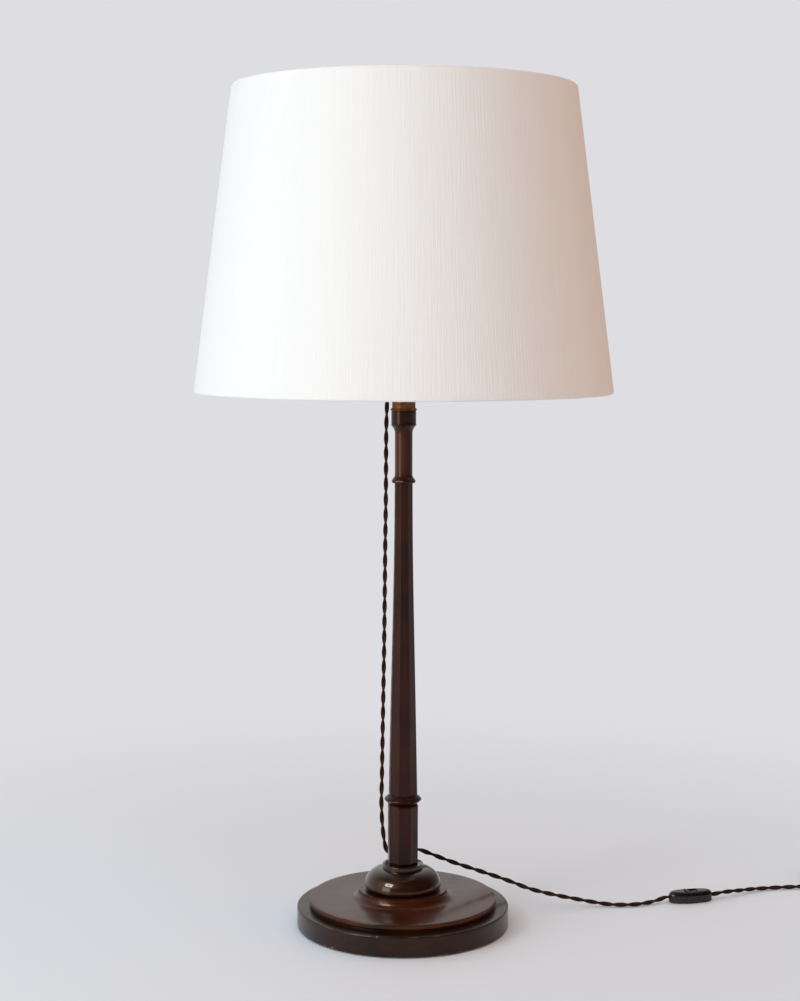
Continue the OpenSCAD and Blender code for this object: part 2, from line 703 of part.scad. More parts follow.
plunger_top = bulb_z - solder_h - run_gap;

module contact_plungers() color(brass) sides_x(contact_x) {
    lifted(plunger_z) cylinder(r = plunger_r, h = plunger_top - 0.8 - plunger_z);
    lifted(plunger_top - 0.8) cylinder(r1 = plunger_r, r2 = plunger_r - 0.8, h = 0.8);
}

// One bayonet slot: entry, floor and hook
module bayonet_slot(turn) {
    floor_z = barrel_top - slot_depth;
    reach = barrel_r - barrel_bore_r + 2;
    corner = [barrel_bore_r - 1, -slot_w / 2, floor_z];
    rotate(turn - slot_turn) translate(corner) cube([reach, slot_w, slot_depth + cut]);
    for (i = [1:5]) rotate(turn - slot_turn * i / 6) translate(corner)
        cube([reach, slot_w, slot_w]);
    rotate(turn) translate(corner)
        cube([reach, slot_w, slot_w / 2 + bulb_push + pin_r + run_gap]);
}

module holder_barrel() color(brass) difference() {
    union() {
        lifted(shoulder_z) cylinder(r = barrel_r, h = barrel_top - shoulder_z);
        lifted(shoulder_z) cylinder(r = shoulder_r, h = shoulder_t);
        lifted(skirt_z) cylinder(r = skirt_r, h = shoulder_z - skirt_z + 0.5);
    }
    lifted(skirt_z - cut) cylinder(r = skirt_r - brass_t, h = 3 + cut + face_gap);
    lifted(skirt_z) cylinder(r = barrel_bore_r, h = barrel_top - skirt_z + cut);
    bayonet_slot(90);
    bayonet_slot(270);
}

module shade_ring() color(black) lifted(shade_ring_z) difference() {
    cylinder(r = shade_ring_r, h = shade_ring_h);
    lifted(-cut) cylinder(r = barrel_r + run_gap, h = shade_ring_h + 2 * cut);
    around(shade_ring_notches, 0) translate([shade_ring_r + 0.5, 0, 1.4])
        cylinder(r = 1.1, h = shade_ring_h, $fn = 16);
}

module bulb_cap() color(steel) {
    difference() {
        turned([[bulb_cap_r - 0.35, bulb_z], [bulb_cap_r, bulb_z], [bulb_cap_r, bulb_cap_top - 1],
            [bulb_cap_r - 0.4, bulb_cap_top], [bulb_cap_r - 0.7, bulb_cap_top],
            [bulb_cap_r - 0.35, bulb_cap_top - 1.2]]);
        for (s = [90, 270]) outward(s, pin_z) lifted(bulb_cap_r - 2) cylinder(r = pin_r, h = 4);
    }
    for (s = [90, 270]) outward(s, pin_z) lifted(bulb_cap_r - 0.35) cylinder(r = pin_r, h = 2.2);
}

module bulb_contacts() color(black) {
    lifted(bulb_z) cylinder(r = bulb_cap_r - 0.4, h = 2.6);
    sides_x(contact_x) lifted(bulb_z - solder_h) cylinder(r = 2, h = solder_h + 0.2);
}

bulb_neck_r = bulb_cap_r - 0.8;
// Radius and height of the glass from the neck to the ball, inside by an inset
function glass_line(inset) = let (ball_r = bulb_r - inset, a0 = -50,
        r1 = ball_r * cos(a0), z1 = glass_z + ball_r * sin(a0),
        z0 = bulb_cap_top + 1, r0 = bulb_neck_r - inset, pull = -tan(a0) * (z1 - z0))
    concat([[r0, bulb_cap_top - 4]],
        [for (t = [0:0.125:0.99])
            [r0 + (r1 - r0) * (3 * t * t - 2 * t * t * t) + pull * (t * t * t - t * t),
                blend(z0, z1, t)]],
        [for (a = [a0:10:80]) [ball_r * cos(a), glass_z + ball_r * sin(a)]],
        [[0, glass_z + ball_r]]);
function backwards(p) = [for (i = [len(p) - 1:-1:0]) p[i]];

module bulb_glass() color([0.9, 0.93, 0.95, 0.35])
    turned(concat(glass_line(0), backwards(glass_line(glass_t))));

stem_top = glass_z - 18;

module bulb_stem() color([0.85, 0.9, 0.9, 0.5])
    turned([[0, bulb_cap_top - 2], [bulb_neck_r - glass_t - 0.1, bulb_cap_top - 2],
        [6, bulb_cap_top + 2], [3.4, bulb_cap_top + 9], [2.2, stem_top - 3],
        [2.8, stem_top - 1.4], [0, stem_top]]);

// Two supports rise from the stem, and the wire runs between their tops
module bulb_filament() color("#8d8d90") {
    w = filament_w;
    h = filament_h;
    half = [[1.6, 0, -0.9], [2.4, 0, 0.15 * h], [w - 2, 0, h - 5], [w, 2, h], [w - 4, 8, h - 1]];
    left = [for (p = half) [-p.x, p.y, p.z]];
    line = concat(left, [[0, w - 1, h]], backwards(half));
    tube(smooth([for (p = line) p + [0, 0, stem_top]], 4), filament_wire_r, 6);
}

module carrier_collar() color(brass) lifted(carrier_z) difference() {
    cylinder(r = carrier_collar_r, h = carrier_collar_t);
    lifted(-cut) cylinder(r = barrel_r + 0.3, h = carrier_collar_t + 2 * cut);
}

module carrier_arms() color(brass) around(carrier_wires, 90) {
    foot_r = carrier_collar_r - wire_r - 0.2;
    foot_z0 = carrier_z + carrier_collar_t + 0.02;
    top_z0 = gallery_z - wire_r * 0.8;
    span = top_z0 - foot_z0;
    tube(smooth([[foot_r, 0, foot_z0], [foot_r, 0, foot_z0 + wire_foot_l],
        [blend(foot_r, carrier_bow, 0.45), 0, foot_z0 + 0.14 * span],
        [carrier_bow, 0, foot_z0 + 0.4 * span],
        [blend(gallery_r, carrier_bow, 0.95), 0, foot_z0 + 0.65 * span],
        [blend(gallery_r, carrier_bow, 0.5), 0, foot_z0 + 0.86 * span],
        [gallery_r, 0, top_z0 - wire_top_l], [gallery_r, 0, top_z0]], span / 16.5), wire_r, 8);
}

module hoop_wire(r, z, wire) rotate_extrude() translate([r, z]) circle(r = wire, $fn = 24);

module carrier_ring() color(brass) difference() {
    hoop_wire(gallery_r, gallery_z, wire_r);
    around(carrier_wires, 90) translate([gallery_r, 0, gallery_z - 2 * wire_r])
        cylinder(r = wire_r + run_gap, h = 1.2 * wire_r + run_gap);
}

pin_end_r = 1.4;                // pivot pins where they pass through the skirt

module rest_ring() color(brass) difference() {
    hole_r = gallery_r - wire_r - 0.9;
    top_z = rest_z + rest_ring_t;
    low_z = top_z - rest_skirt_h - 1;
    turned([[hole_r, rest_z], [skirt_in_r, rest_z], [skirt_in_r, low_z], [skirt_out_r, low_z],
        [skirt_out_r, top_z], [hole_r, top_z]]);
    for (s = [0, 180]) outward(s, pivot_z) lifted(skirt_in_r - 1)
        cylinder(r = pin_end_r + run_gap, h = 5, $fn = 32);
}

band_out_r = band_r + band_t;

module pivot_pins() color(brass) for (s = [0, 180]) outward(s, pivot_z) {
    lifted(skirt_in_r + 0.1) cylinder(r = pin_end_r, h = skirt_out_r - skirt_in_r);
    lifted(skirt_out_r + 0.05) cylinder(r = pivot_r, h = band_out_r + face_gap - skirt_out_r);
    lifted(band_out_r + face_gap) cylinder(r = pivot_r + 1.4, h = 1.2);
}

module pivot_band() color(steel) difference() {
    lifted(pivot_z - band_h / 2) difference() {
        cylinder(r = band_out_r, h = band_h);
        lifted(-cut) cylinder(r = band_r, h = band_h + 2 * cut);
    }
    for (s = [0, 180]) outward(s, pivot_z) lifted(band_r - 4)
        cylinder(r = pivot_r + run_gap, h = 8);
}

// Outer line of the shade at a height
function wall_r(z) = blend(shade_low_r, shade_top_r, (z - shade_low_z) / shade_h);
top_wire_r = wall_r(top_wire_z) - roll_r;
low_wire_r = wall_r(low_wire_z) - roll_r;

// Straight rods from the band up to the top wire
module arm_rods(r) {
    rise = atan((top_wire_z - pivot_z) / (top_wire_r - band_out_r));
    length = norm([top_wire_z - pivot_z, top_wire_r - band_out_r]);
    around(spider_arms_n, 90) translate([band_out_r, 0, pivot_z]) rotate([0, 90 - rise, 0])
        lifted(-5) cylinder(r = r, h = length + 5);
}

module spider_arms() color(steel) intersection() {
    arm_rods(wire_r);
    lifted(pivot_z - 10) difference() {
        cylinder(r = top_wire_r - edge_wire_r - 0.05, h = shade_drop + 20);
        lifted(-cut) cylinder(r = band_out_r + 0.05, h = shade_drop + 20 + 2 * cut);
    }
}

module top_wire() color(steel) hoop_wire(top_wire_r, top_wire_z, edge_wire_r);
module bottom_wire() color(steel) hoop_wire(low_wire_r, low_wire_z, edge_wire_r);

// Layer of the shade's wall between two depths and two heights
module wall_layer(outer, inner, z0, z1) turned([[wall_r(z0) - inner, z0],
    [wall_r(z0) - outer, z0], [wall_r(z1) - outer, z1], [wall_r(z1) - inner, z1]]);

module shade_cover() color(silk) wall_layer(0, cover_t, low_wire_z + 0.05, top_wire_z - 0.05);

lining_out = cover_t + layer_gap;
lining_in = lining_out + lining_t;

module shade_lining() color("#f4f1e8")
    wall_layer(lining_out, lining_in, low_wire_z + edge_wire_r + 0.2, top_wire_z - edge_wire_r - 0.2);

// Rolled edge: silk round the wire, then tucked inside the lining. The roll ends at hem_turn.
module hem(z, r, up) turned(let (depth = lining_in + layer_gap,
        end_z = z - up * hem_h,
        end_r = wall_r(end_z) - depth)
    concat([for (a = [0:10:hem_turn]) [r + roll_r * cos(a), z + up * roll_r * sin(a)]],
        [[end_r - hem_t, end_z], [end_r, end_z]],
        [for (a = [hem_turn:-10:0])
            [r + (roll_r - cover_t) * cos(a), z + up * (roll_r - cover_t) * sin(a)]]));

// The top hem is notched where the arms meet the wire
module top_hem() color(silk) difference() {
    hem(top_wire_z, top_wire_r, 1);
    arm_rods(wire_r + 0.1);
}
module bottom_hem() color(silk) hem(low_wire_z, low_wire_r, -1);

// Rounded oblong outline; a smaller power makes its corners squarer
function oblong(l, w, inset, z, power = 0.86) = [for (k = [0:47])
    let (a = 7.5 * k, c = cos(a), s = sin(a))
    [(l / 2 - inset) * sign(c) * pow(abs(c), power),
        (w / 2 - inset) * sign(s) * pow(abs(s), power), z]];
module at_switch() translate(switch_at) rotate(switch_yaw) children();
module cord_bores(l, depth, z) for (s = [0, 180]) rotate(s)
    translate([l / 2 - depth, 0, z]) rotate([0, 90, 0])
        cylinder(r = flex_r + cord_room, h = depth + cut);

rocker_z = switch_h - 4.8;
rocker_tilt = rocker_swing / 2;
switch_screw_x = switch_l / 2 - 8.6;
switch_room = [2 * switch_screw_x - 6.4, rocker_w + 0.8];
switch_floor = 1.6;             // thickness under the room for the contacts
switch_roof = 1.8;              // thickness above it

module switch_base() color(black) at_switch() difference() {
    skin([oblong(switch_l, switch_w, 1.2, 0), oblong(switch_l, switch_w, 0.3, 0.6),
        oblong(switch_l, switch_w, 0, 1.6), oblong(switch_l, switch_w, 0, switch_split)]);
    translate([-switch_room.x / 2, -switch_room.y / 2, switch_floor])
        cube([switch_room.x, switch_room.y, switch_split]);
    sides_x(switch_screw_x) lifted(-cut)
        cylinder(r = switch_screw_r + 0.1, h = switch_split + 2 * cut);
    sides_x(switch_screw_x) lifted(-cut)
        cylinder(r = 2 * switch_screw_r + 0.1, h = switch_floor + cut);
    cord_bores(switch_l, switch_bore_depth, switch_split);
}

module switch_cover() color(black) at_switch() difference() {
    skin([for (q = [[0, 0], [0.35, 0], [0.62, 0.7], [0.82, 1.9], [0.94, 3.3], [1, 4.8]])
        oblong(switch_l, switch_w, q[1], blend(switch_split + 0.05, switch_h, q[0]))]);
    translate([-switch_room.x / 2, -switch_room.y / 2, switch_split - cut])
        cube([switch_room.x, switch_room.y, switch_h - switch_roof - switch_split + cut]);
    translate([-rocker_l / 2 - 1, -rocker_w / 2 - 0.3, switch_split])
        cube([rocker_l + 2, rocker_w + 0.6, switch_h]);
    sides_x(switch_screw_x) lifted(switch_split - cut)
        cylinder(r = switch_screw_r + run_gap, h = 3.4 + cut);
    cord_bores(switch_l, switch_bore_depth, switch_split);
    translate([0, rocker_w / 2 + 2, rocker_z]) rotate([90, 0, 0])
        cylinder(r = rocker_pin_r + run_gap, h = rocker_w + 4);
}

module switch_rocker() color(black) at_switch() lifted(rocker_z)
    rotate([0, rocker_tilt, 0]) difference() {
        half = rocker_l / 2;
        translate([0, rocker_w / 2, 0]) rotate([90, 0, 0]) linear_extrude(rocker_w)
            polygon([[-half + 0.3, 1], [-half, 4.2], [-half + 0.7, 4.7], [0, 3.3],
                [half - 0.7, 4.7], [half, 4.2], [half - 0.3, 1], [2.4, -3.2], [-2.4, -3.2]]);
        translate([0, rocker_w / 2 + cut, 0]) rotate([90, 0, 0])
            cylinder(r = rocker_pin_r + run_gap, h = rocker_w + 2 * cut);
    }

module rocker_pin() color(steel) at_switch()
    translate([0, rocker_w / 2 + 1.9, rocker_z]) rotate([90, 0, 0])
        cylinder(r = rocker_pin_r, h = rocker_w + 3.8);

module switch_contacts() color(brass) at_switch() {
    block = [4, rocker_w - 1, 3];
    strip = [switch_room.x - 6, 3, 0.5];
    floor_z = switch_floor + 0.02;
    sides_x(switch_room.x / 2 - block.x / 2 - 0.1)
        translate([-block.x / 2, -block.y / 2, floor_z]) cube(block);
    translate([-switch_room.x / 2 + 0.5, -strip.y / 2, floor_z]) cube(strip);
}

module switch_screws() color(steel) at_switch() sides_x(switch_screw_x) {
    lifted(0.3) cylinder(r = 2 * switch_screw_r, h = 1.25);
    lifted(1.5) cylinder(r = switch_screw_r, h = switch_split + 1.6);
}

module flex_main() color(flex_brown) tube(smooth(route_main, 17), flex_r, 10);
module flex_lead() color(flex_brown) tube(smooth(route_lead, 17), flex_r, 10);
module flex_tail() color(flex_brown) tube(smooth(route_tail, 15), flex_r, 10);

// Middle line of the coil: in along the floor, up in the half turn where it reverses, and out
coil_sweep = 360 * coil_turns;
coil_steps = 24 * coil_turns;
function coil_point(a) = let (r = coil_r + coil_step * abs(a) / 360, b = a + coil_sweep - 90,
        climb = min(1, max(0, (a + 90) / 180)))
    [coil_x + r * cos(b), coil_y + r * sin(b), coil_z + coil_layer * climb];
coil_in = coil_point(-coil_sweep);
coil_out = coil_point(coil_sweep);
coil_path = concat(
    [[coil_start_x, coil_in.y, coil_in.z], [coil_x - 2, coil_in.y, coil_in.z]],
    [for (i = [-coil_steps:coil_steps]) coil_point(15 * i)],
    [[coil_x + 2, coil_out.y, coil_out.z], [2 * coil_x - coil_start_x, coil_out.y, coil_out.z]]);
coil_gap = min([for (i = [0:len(coil_path) - 1]) for (j = [i + 8:1:len(coil_path) - 1])
    norm(coil_path[i] - coil_path[j]) - 2 * flex_r]);
echo(least_gap_of_the_coil_to_itself = coil_gap);

module flex_coil() color(flex_brown) tube(coil_path, flex_r, 6);

module at_plug() translate(plug_at) rotate(plug_yaw) children();
plug_h = plug_cover_h + plug_base_h;
plug_corner = 0.5;
power_pin = [4, 6.35, 17.7];    // thickness, width and reach of the flat pins
earth_pin = [8, 4, 22.7];       // the same for the earth pin
pin_root = 9.98;                // depth of the pins inside the base
pin_room = 0.05;                // clearance of the pins in the base
power_x = -5;
power_y = 11.1;
earth_x = power_x + 22.2;
fuse_l = 25.4;
fuse_r = 3.15;
fuse_x = -3;
fuse_y = power_y + power_pin.y / 2 + fuse_r + 0.9;
grip = [4, 18, 1.6];            // fibre strip that clamps the flex
grip_x = -plug_l / 2 + 7;
screw_at = 4;                   // screw that holds the cover, along the plug
plug_screw_r = 1.7;
plug_head_r = 3.2;

module plug_room() translate([fuse_x - fuse_l / 2 - 0.5, fuse_y - fuse_r - 0.7,
    plug_cover_h - fuse_r - 0.7]) cube([fuse_l + 1, 2 * fuse_r + 1.4, 2 * fuse_r + 1.4]);

module plug_bores() {
    translate([-plug_l / 2 - cut, 0, plug_cover_h]) rotate([0, 90, 0])
        cylinder(r = flex_r + cord_room, h = plug_cord_depth + cut);
    translate([screw_at, 0, -cut]) cylinder(r = plug_screw_r + run_gap, h = plug_h - 2 + cut);
    plug_room();
}

// Hole for one pin, from inside the base to past its face
module pin_hole(x, y, pin) translate([x, y, plug_h - 4])
    cube([pin.x + 2 * pin_room, pin.y + 2 * pin_room, 12], center = true);

module plug_base() color(black) at_plug() difference() {
    skin([for (q = [[0, plug_cover_h + 0.05], [0, plug_h - 3], [0.8, plug_h - 1], [2, plug_h]])
        oblong(plug_l, plug_w, q[0], q[1], plug_corner)]);
    plug_bores();
    for (s = [-1, 1]) pin_hole(power_x, s * power_y, power_pin);
    pin_hole(earth_x, 0, earth_pin);
    translate([grip_x - grip.x / 2 - 0.1, -grip.y / 2 - 0.1, plug_cover_h - cut])
        cube([grip.x + 0.2, grip.y + 0.2, flex_r + grip.z + 0.8 + cut]);
}

module plug_cover() color(black) at_plug() difference() {
    skin([for (q = [[2.4, 0], [0.8, 1], [0, 3], [0, plug_cover_h]])
        oblong(plug_l, plug_w, q[0], q[1], plug_corner)]);
    plug_bores();
    translate([screw_at, 0, -cut]) cylinder(r = plug_head_r + 0.2, h = 3 + cut);
}

module plug_pin(x, y, pin) translate([x - pin.x / 2, y - pin.y / 2, plug_h - pin_root])
    cube([pin.x, pin.y, pin_root + pin.z]);

module plug_earth_pin() color(brass) at_plug() plug_pin(earth_x, 0, earth_pin);
module plug_power_pins() color(brass) at_plug()
    for (s = [-1, 1]) plug_pin(power_x, s * power_y, power_pin);

module plug_fuse() color(porcelain) at_plug()
    translate([fuse_x - fuse_l / 2, fuse_y, plug_cover_h]) rotate([0, 90, 0])
        cylinder(r = fuse_r, h = fuse_l);

module plug_clips() color(brass) at_plug() for (s = [-1, 1])
    translate([fuse_x + s * (fuse_l / 2 - 3), fuse_y, plug_cover_h]) difference() {
        translate([-2.5, -fuse_r - 0.6, -fuse_r - 0.6])
            cube([5, 2 * fuse_r + 1.2, fuse_r + 2.4]);
        translate([-3, 0, 0]) rotate([0, 90, 0]) cylinder(r = fuse_r + run_gap, h = 6);
        translate([-3, -fuse_r - run_gap, 0]) cube([6, 2 * (fuse_r + run_gap), fuse_r]);
    }

module plug_grip() color("#5b4636") at_plug()
    translate([grip_x - grip.x / 2, -grip.y / 2, plug_cover_h + flex_r + 0.3]) cube(grip);

module plug_screw() color(steel) at_plug() {
    translate([screw_at, 0, 1]) cylinder(r = plug_head_r, h = 1.95);
    translate([screw_at, 0, 2.9]) cylinder(r = plug_screw_r, h = plug_h - 5.4);
}

base_felt();
base_plinth();
base_platform();
base_bun();
base_washer();
base_screw();
column_foot();
lower_ring();
column_shaft();
capital();
holder_flange();
flange_screws();
holder_nipple();
holder_cap();
entry_bush();
holder_core();
holder_terminals();
terminal_screws();
lead_tails();
contact_springs();
contact_plungers();
holder_barrel();
shade_ring();
bulb_cap();
bulb_contacts();
bulb_glass();
bulb_stem();
bulb_filament();
carrier_collar();
carrier_arms();
carrier_ring();
rest_ring();
pivot_pins();
pivot_band();
spider_arms();
top_wire();
bottom_wire();
shade_cover();
shade_lining();
top_hem();
bottom_hem();
switch_base();
switch_cover();
switch_rocker();
rocker_pin();
switch_contacts();
switch_screws();
flex_main();
flex_lead();
flex_coil();
flex_tail();
plug_base();
plug_cover();
plug_earth_pin();
plug_power_pins();
plug_fuse();
plug_clips();
plug_grip();
plug_screw();
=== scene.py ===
"""Finishes, cords and fine surfaces for a table lamp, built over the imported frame.

Lengths in the classes are millimetres unless a name or a comment says otherwise.
"""

import json
import logging
import math
from collections.abc import Iterable, Mapping, Sequence
from dataclasses import dataclass, field
from enum import Enum
from typing import Any

import bpy
import numpy as np
from mathutils import Matrix, Vector

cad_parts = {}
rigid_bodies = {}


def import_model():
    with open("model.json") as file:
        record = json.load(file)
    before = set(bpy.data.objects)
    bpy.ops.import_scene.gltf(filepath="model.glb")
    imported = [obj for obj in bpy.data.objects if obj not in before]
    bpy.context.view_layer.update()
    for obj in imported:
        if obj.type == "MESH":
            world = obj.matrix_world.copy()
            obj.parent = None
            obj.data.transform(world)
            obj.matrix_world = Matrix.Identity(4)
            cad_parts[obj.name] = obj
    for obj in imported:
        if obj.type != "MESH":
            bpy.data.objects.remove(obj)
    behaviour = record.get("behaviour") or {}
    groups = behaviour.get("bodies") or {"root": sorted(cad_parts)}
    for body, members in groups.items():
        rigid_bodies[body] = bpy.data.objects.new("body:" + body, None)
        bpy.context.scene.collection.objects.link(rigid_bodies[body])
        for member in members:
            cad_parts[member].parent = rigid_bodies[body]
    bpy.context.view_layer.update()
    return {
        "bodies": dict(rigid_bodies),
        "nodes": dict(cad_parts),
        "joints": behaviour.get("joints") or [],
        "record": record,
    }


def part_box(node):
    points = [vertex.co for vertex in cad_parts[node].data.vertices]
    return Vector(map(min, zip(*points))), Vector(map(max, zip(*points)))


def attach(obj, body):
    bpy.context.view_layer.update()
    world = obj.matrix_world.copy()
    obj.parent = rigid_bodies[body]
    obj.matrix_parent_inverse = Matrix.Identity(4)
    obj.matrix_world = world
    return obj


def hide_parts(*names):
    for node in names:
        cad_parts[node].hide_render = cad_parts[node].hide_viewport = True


LOG = logging.getLogger("lamp")
MM = 0.001
PHOTO_HEIGHT = 1001  # pixels


class Body(Enum):
    """Bodies of the frame that new pieces ride on."""

    STAND = "stand"
    BULB = "bulb"
    CARRIER = "carrier"
    SHADE = "shade"


class Slot(Enum):
    """Material slots of the record."""

    WOOD = "mahogany"
    BAIZE = "baize"
    BRASS = "aged_brass"
    STEEL = "bright_steel"
    BLACK = "black_moulding"
    PORCELAIN = "porcelain"
    GLASS = "clear_glass"
    SILK = "ivory_silk"
    LINING = "white_lining"
    FLEX = "brown_flex"
    FIBRE = "brown_fibre"


class Shut(Enum):
    """How the first and last rings of a skin end."""

    POLES = "one point closes each end"
    LOOP = "the last ring joins the first"


class Grain(Enum):
    """Stretch of the wood's figure, shortest along the grain."""

    UPRIGHT = (1.0, 1.0, 0.035)
    FLAT = (0.035, 1.0, 1.0)


def linear(code: str) -> tuple[float, float, float, float]:
    """Turns an sRGB hex colour into linear light.

    Args:
        code: Colour such as "#a1b2c3".

    Returns:
        Red, green, blue and an alpha of 1, all linear.
    """
    srgb = np.array([int(code[i : i + 2], 16) for i in (1, 3, 5)]) / 255.0
    rgb = np.where(srgb <= 0.04045, srgb / 12.92, ((srgb + 0.055) / 1.055) ** 2.4)
    return (*rgb.tolist(), 1.0)


def feed(
    tree: bpy.types.NodeTree, node: bpy.types.Node, inputs: Mapping[str | int, Any]
) -> None:
    """Fills or links the input sockets of a node.

    Args:
        tree: Node tree that holds the node.
        node: The node.
        inputs: Value, hex colour or socket for each input, by its name or its index.
    """
    for key, value in inputs.items():
        if isinstance(value, bpy.types.NodeSocket):
            tree.links.new(value, node.inputs[key])
        else:
            node.inputs[key].default_value = linear(value) if isinstance(value, str) else value


def add_node(
    tree: bpy.types.NodeTree,
    kind: str,
    inputs: Mapping[str | int, Any] | None = None,
    output: str | int = 0,
    **settings: Any,
) -> bpy.types.NodeSocket | None:
    """Adds a shader node with its settings and links.

    Args:
        tree: Node tree that gets the node.
        kind: Type of the node, less its first words ShaderNode.
        inputs: Value, hex colour or socket for each input.
        output: The output that is wanted, by its name or its index.
        settings: Options of the node itself.

    Returns:
        That output, or None where the node has no outputs.
    """
    node = tree.nodes.new(f"ShaderNode{kind}")
    for name, value in settings.items():
        setattr(node, name, value)
    feed(tree, node, inputs or {})
    return node.outputs[output] if node.outputs else None


def arc(r: float, z: float, radius: float, start: float, stop: float, count: int) -> np.ndarray:
    """Points of a circle's arc in the plane of a profile.

    Args:
        r: Distance of the arc's centre from the axis.
        z: Height of the arc's centre.
        radius: Radius of the arc.
        start: First angle in degrees.
        stop: Last angle in degrees.
        count: Number of steps.

    Returns:
        Array of count + 1 points (r, z).
    """
    angle = np.radians(np.linspace(start, stop, count + 1))
    return np.column_stack([r + radius * np.cos(angle), z + radius * np.sin(angle)])


def refined(profile: np.ndarray, step: float, closed: bool = False) -> np.ndarray:
    """Divides each stretch of a profile evenly so that no part is longer than a step.

    Args:
        profile: Points (r, z).
        step: Longest part that may stay.
        closed: Whether the last point joins the first.

    Returns:
        The profile's own points with the added ones between them.
    """
    ends = np.vstack([profile, profile[:1]]) if closed else profile
    parts = np.ceil(np.linalg.norm(np.diff(ends, axis=0), axis=1) / step).astype(int)
    place = np.concatenate([i + np.arange(n) / n for i, n in enumerate(np.maximum(parts, 1))])
    if not closed:
        place = np.append(place, len(ends) - 1)
    own = np.arange(len(ends))
    return np.column_stack([np.interp(place, own, ends[:, k]) for k in range(ends.shape[1])])


def along(profile: np.ndarray) -> np.ndarray:
    """Length from a line's first point to each of its points."""
    return np.concatenate([[0.0], np.cumsum(np.linalg.norm(np.diff(profile, axis=0), axis=1))])


def turned(profile: np.ndarray, angles: np.ndarray) -> np.ndarray:
    """Carries a profile round the axis: x = r cos a, y = r sin a, z stays.

    Args:
        profile: Points (r, z), running outwards below and upwards outside.
        angles: Angles in radians.

    Returns:
        Rings of points, one ring for each point of the profile.
    """
    r, z = profile[:, :1], profile[:, 1:]
    return np.stack([r * np.cos(angles), r * np.sin(angles), z + 0 * angles], axis=-1)


def full_turn(count: int) -> np.ndarray:
    """Evenly spaced angles of a whole turn, in radians."""
    return np.linspace(0, 2 * math.pi, count, endpoint=False)


def skin_object(
    name: str,
    rings: np.ndarray,
    shut: Shut,
    uv: tuple[np.ndarray, np.ndarray] | None = None,
    marks: Mapping[str, np.ndarray] | None = None,
    crease: float = 35.0,
) -> bpy.types.Object:
    """Makes a closed mesh over rings of equally many points.

    Each face joins two neighbours of a ring to the same two of the next ring.

    Args:
        name: Name of the piece.
        rings: Array of rings x points x 3, in mm.
        shut: How the two ends close.
        uv: Values across the ring, one more than its points, and along the rings.
        marks: Named values for each point, rings x points.
        crease: Angle in degrees past which an edge is drawn sharp.

    Returns:
        The new object, at the origin.
    """
    rows, sides = rings.shape[:2]
    index = np.arange(rows * sides).reshape(rows, sides)
    ladder = np.vstack([index, index[:1]]) if shut is Shut.LOOP else index
    low, high = ladder[:-1], ladder[1:]
    quads = np.stack([low, np.roll(low, -1, 1), np.roll(high, -1, 1), high], axis=-1)
    faces = quads.reshape(-1, 4).tolist()
    points = rings.reshape(-1, 3)
    if shut is Shut.POLES:
        points = np.vstack([points, rings[0].mean(axis=0), rings[-1].mean(axis=0)])
        first, last = np.full(sides, rows * sides), np.full(sides, rows * sides + 1)
        faces += np.column_stack([first, np.roll(index[0], -1), index[0]]).tolist()
        faces += np.column_stack([last, index[-1], np.roll(index[-1], -1)]).tolist()
    mesh = bpy.data.meshes.new(name)
    mesh.from_pydata((points * MM).tolist(), [], faces)
    if uv is not None:
        mesh.uv_layers.new(name="UVMap").data.foreach_set("uv", corner_uv(uv, low.shape, shut))
    for label, value in (marks or {}).items():
        extra = np.zeros(len(points) - value.size)
        attribute = mesh.attributes.new(label, "FLOAT", "POINT")
        attribute.data.foreach_set("value", np.concatenate([value.ravel(), extra]))
    mesh.shade_smooth()
    mesh.set_sharp_from_angle(angle=math.radians(crease))
    mesh.update()
    piece = bpy.data.objects.new(name, mesh)
    bpy.context.scene.collection.objects.link(piece)
    return piece


def corner_uv(
    uv: tuple[np.ndarray, np.ndarray], shape: tuple[int, int], shut: Shut
) -> np.ndarray:
    """Spreads values across and along the rings over the corners of every face.

    Args:
        uv: Values across the ring and along the rings.
        shape: Rows and columns of the four-sided faces.
        shut: How the ends close, because a pole adds a fan of triangles.

    Returns:
        Flat array of u and v for each corner in the mesh's order.
    """
    across, length = uv
    corners = np.empty((*shape, 4, 2))
    corners[..., 0, 0] = corners[..., 3, 0] = across[:-1]
    corners[..., 1, 0] = corners[..., 2, 0] = across[1:]
    corners[..., 0, 1] = corners[..., 1, 1] = length[:-1, None]
    corners[..., 2, 1] = corners[..., 3, 1] = length[1:, None]
    flat = [corners.ravel()]
    if shut is Shut.POLES:
        fan = np.empty((shape[1], 3, 2))
        fan[..., 0] = across[:-1, None]
        for end in (length[0], length[-1]):
            fan[..., 1] = end
            flat.append(fan.ravel().copy())
    return np.concatenate(flat)


def smooth_route(points: np.ndarray, step: float) -> np.ndarray:
    """Runs a smooth curve through given points, as the solids of the cord do.

    Between two points the curve is 0.5 (2b + (c - a)t + (2a - 5b + 4c - d)t^2
    + (3b - a - 3c + d)t^3), with the ends carried straight on.

    Args:
        points: Points of the route.
        step: Distance between the points of the curve.

    Returns:
        Points of the curve.
    """
    padded = np.vstack([2 * points[0] - points[1], points, 2 * points[-1] - points[-2]])
    found = []
    for a, b, c, d in zip(padded, padded[1:], padded[2:], padded[3:]):
        count = max(1, round(float(np.linalg.norm(c - b)) / step))
        t = (np.arange(count) / count)[:, None]
        square = (2 * a - 5 * b + 4 * c - d) * t**2
        cube = (3 * b - a - 3 * c + d) * t**3
        found.append(0.5 * (2 * b + (c - a) * t + square + cube))
    return np.vstack([*found, points[-1:]])


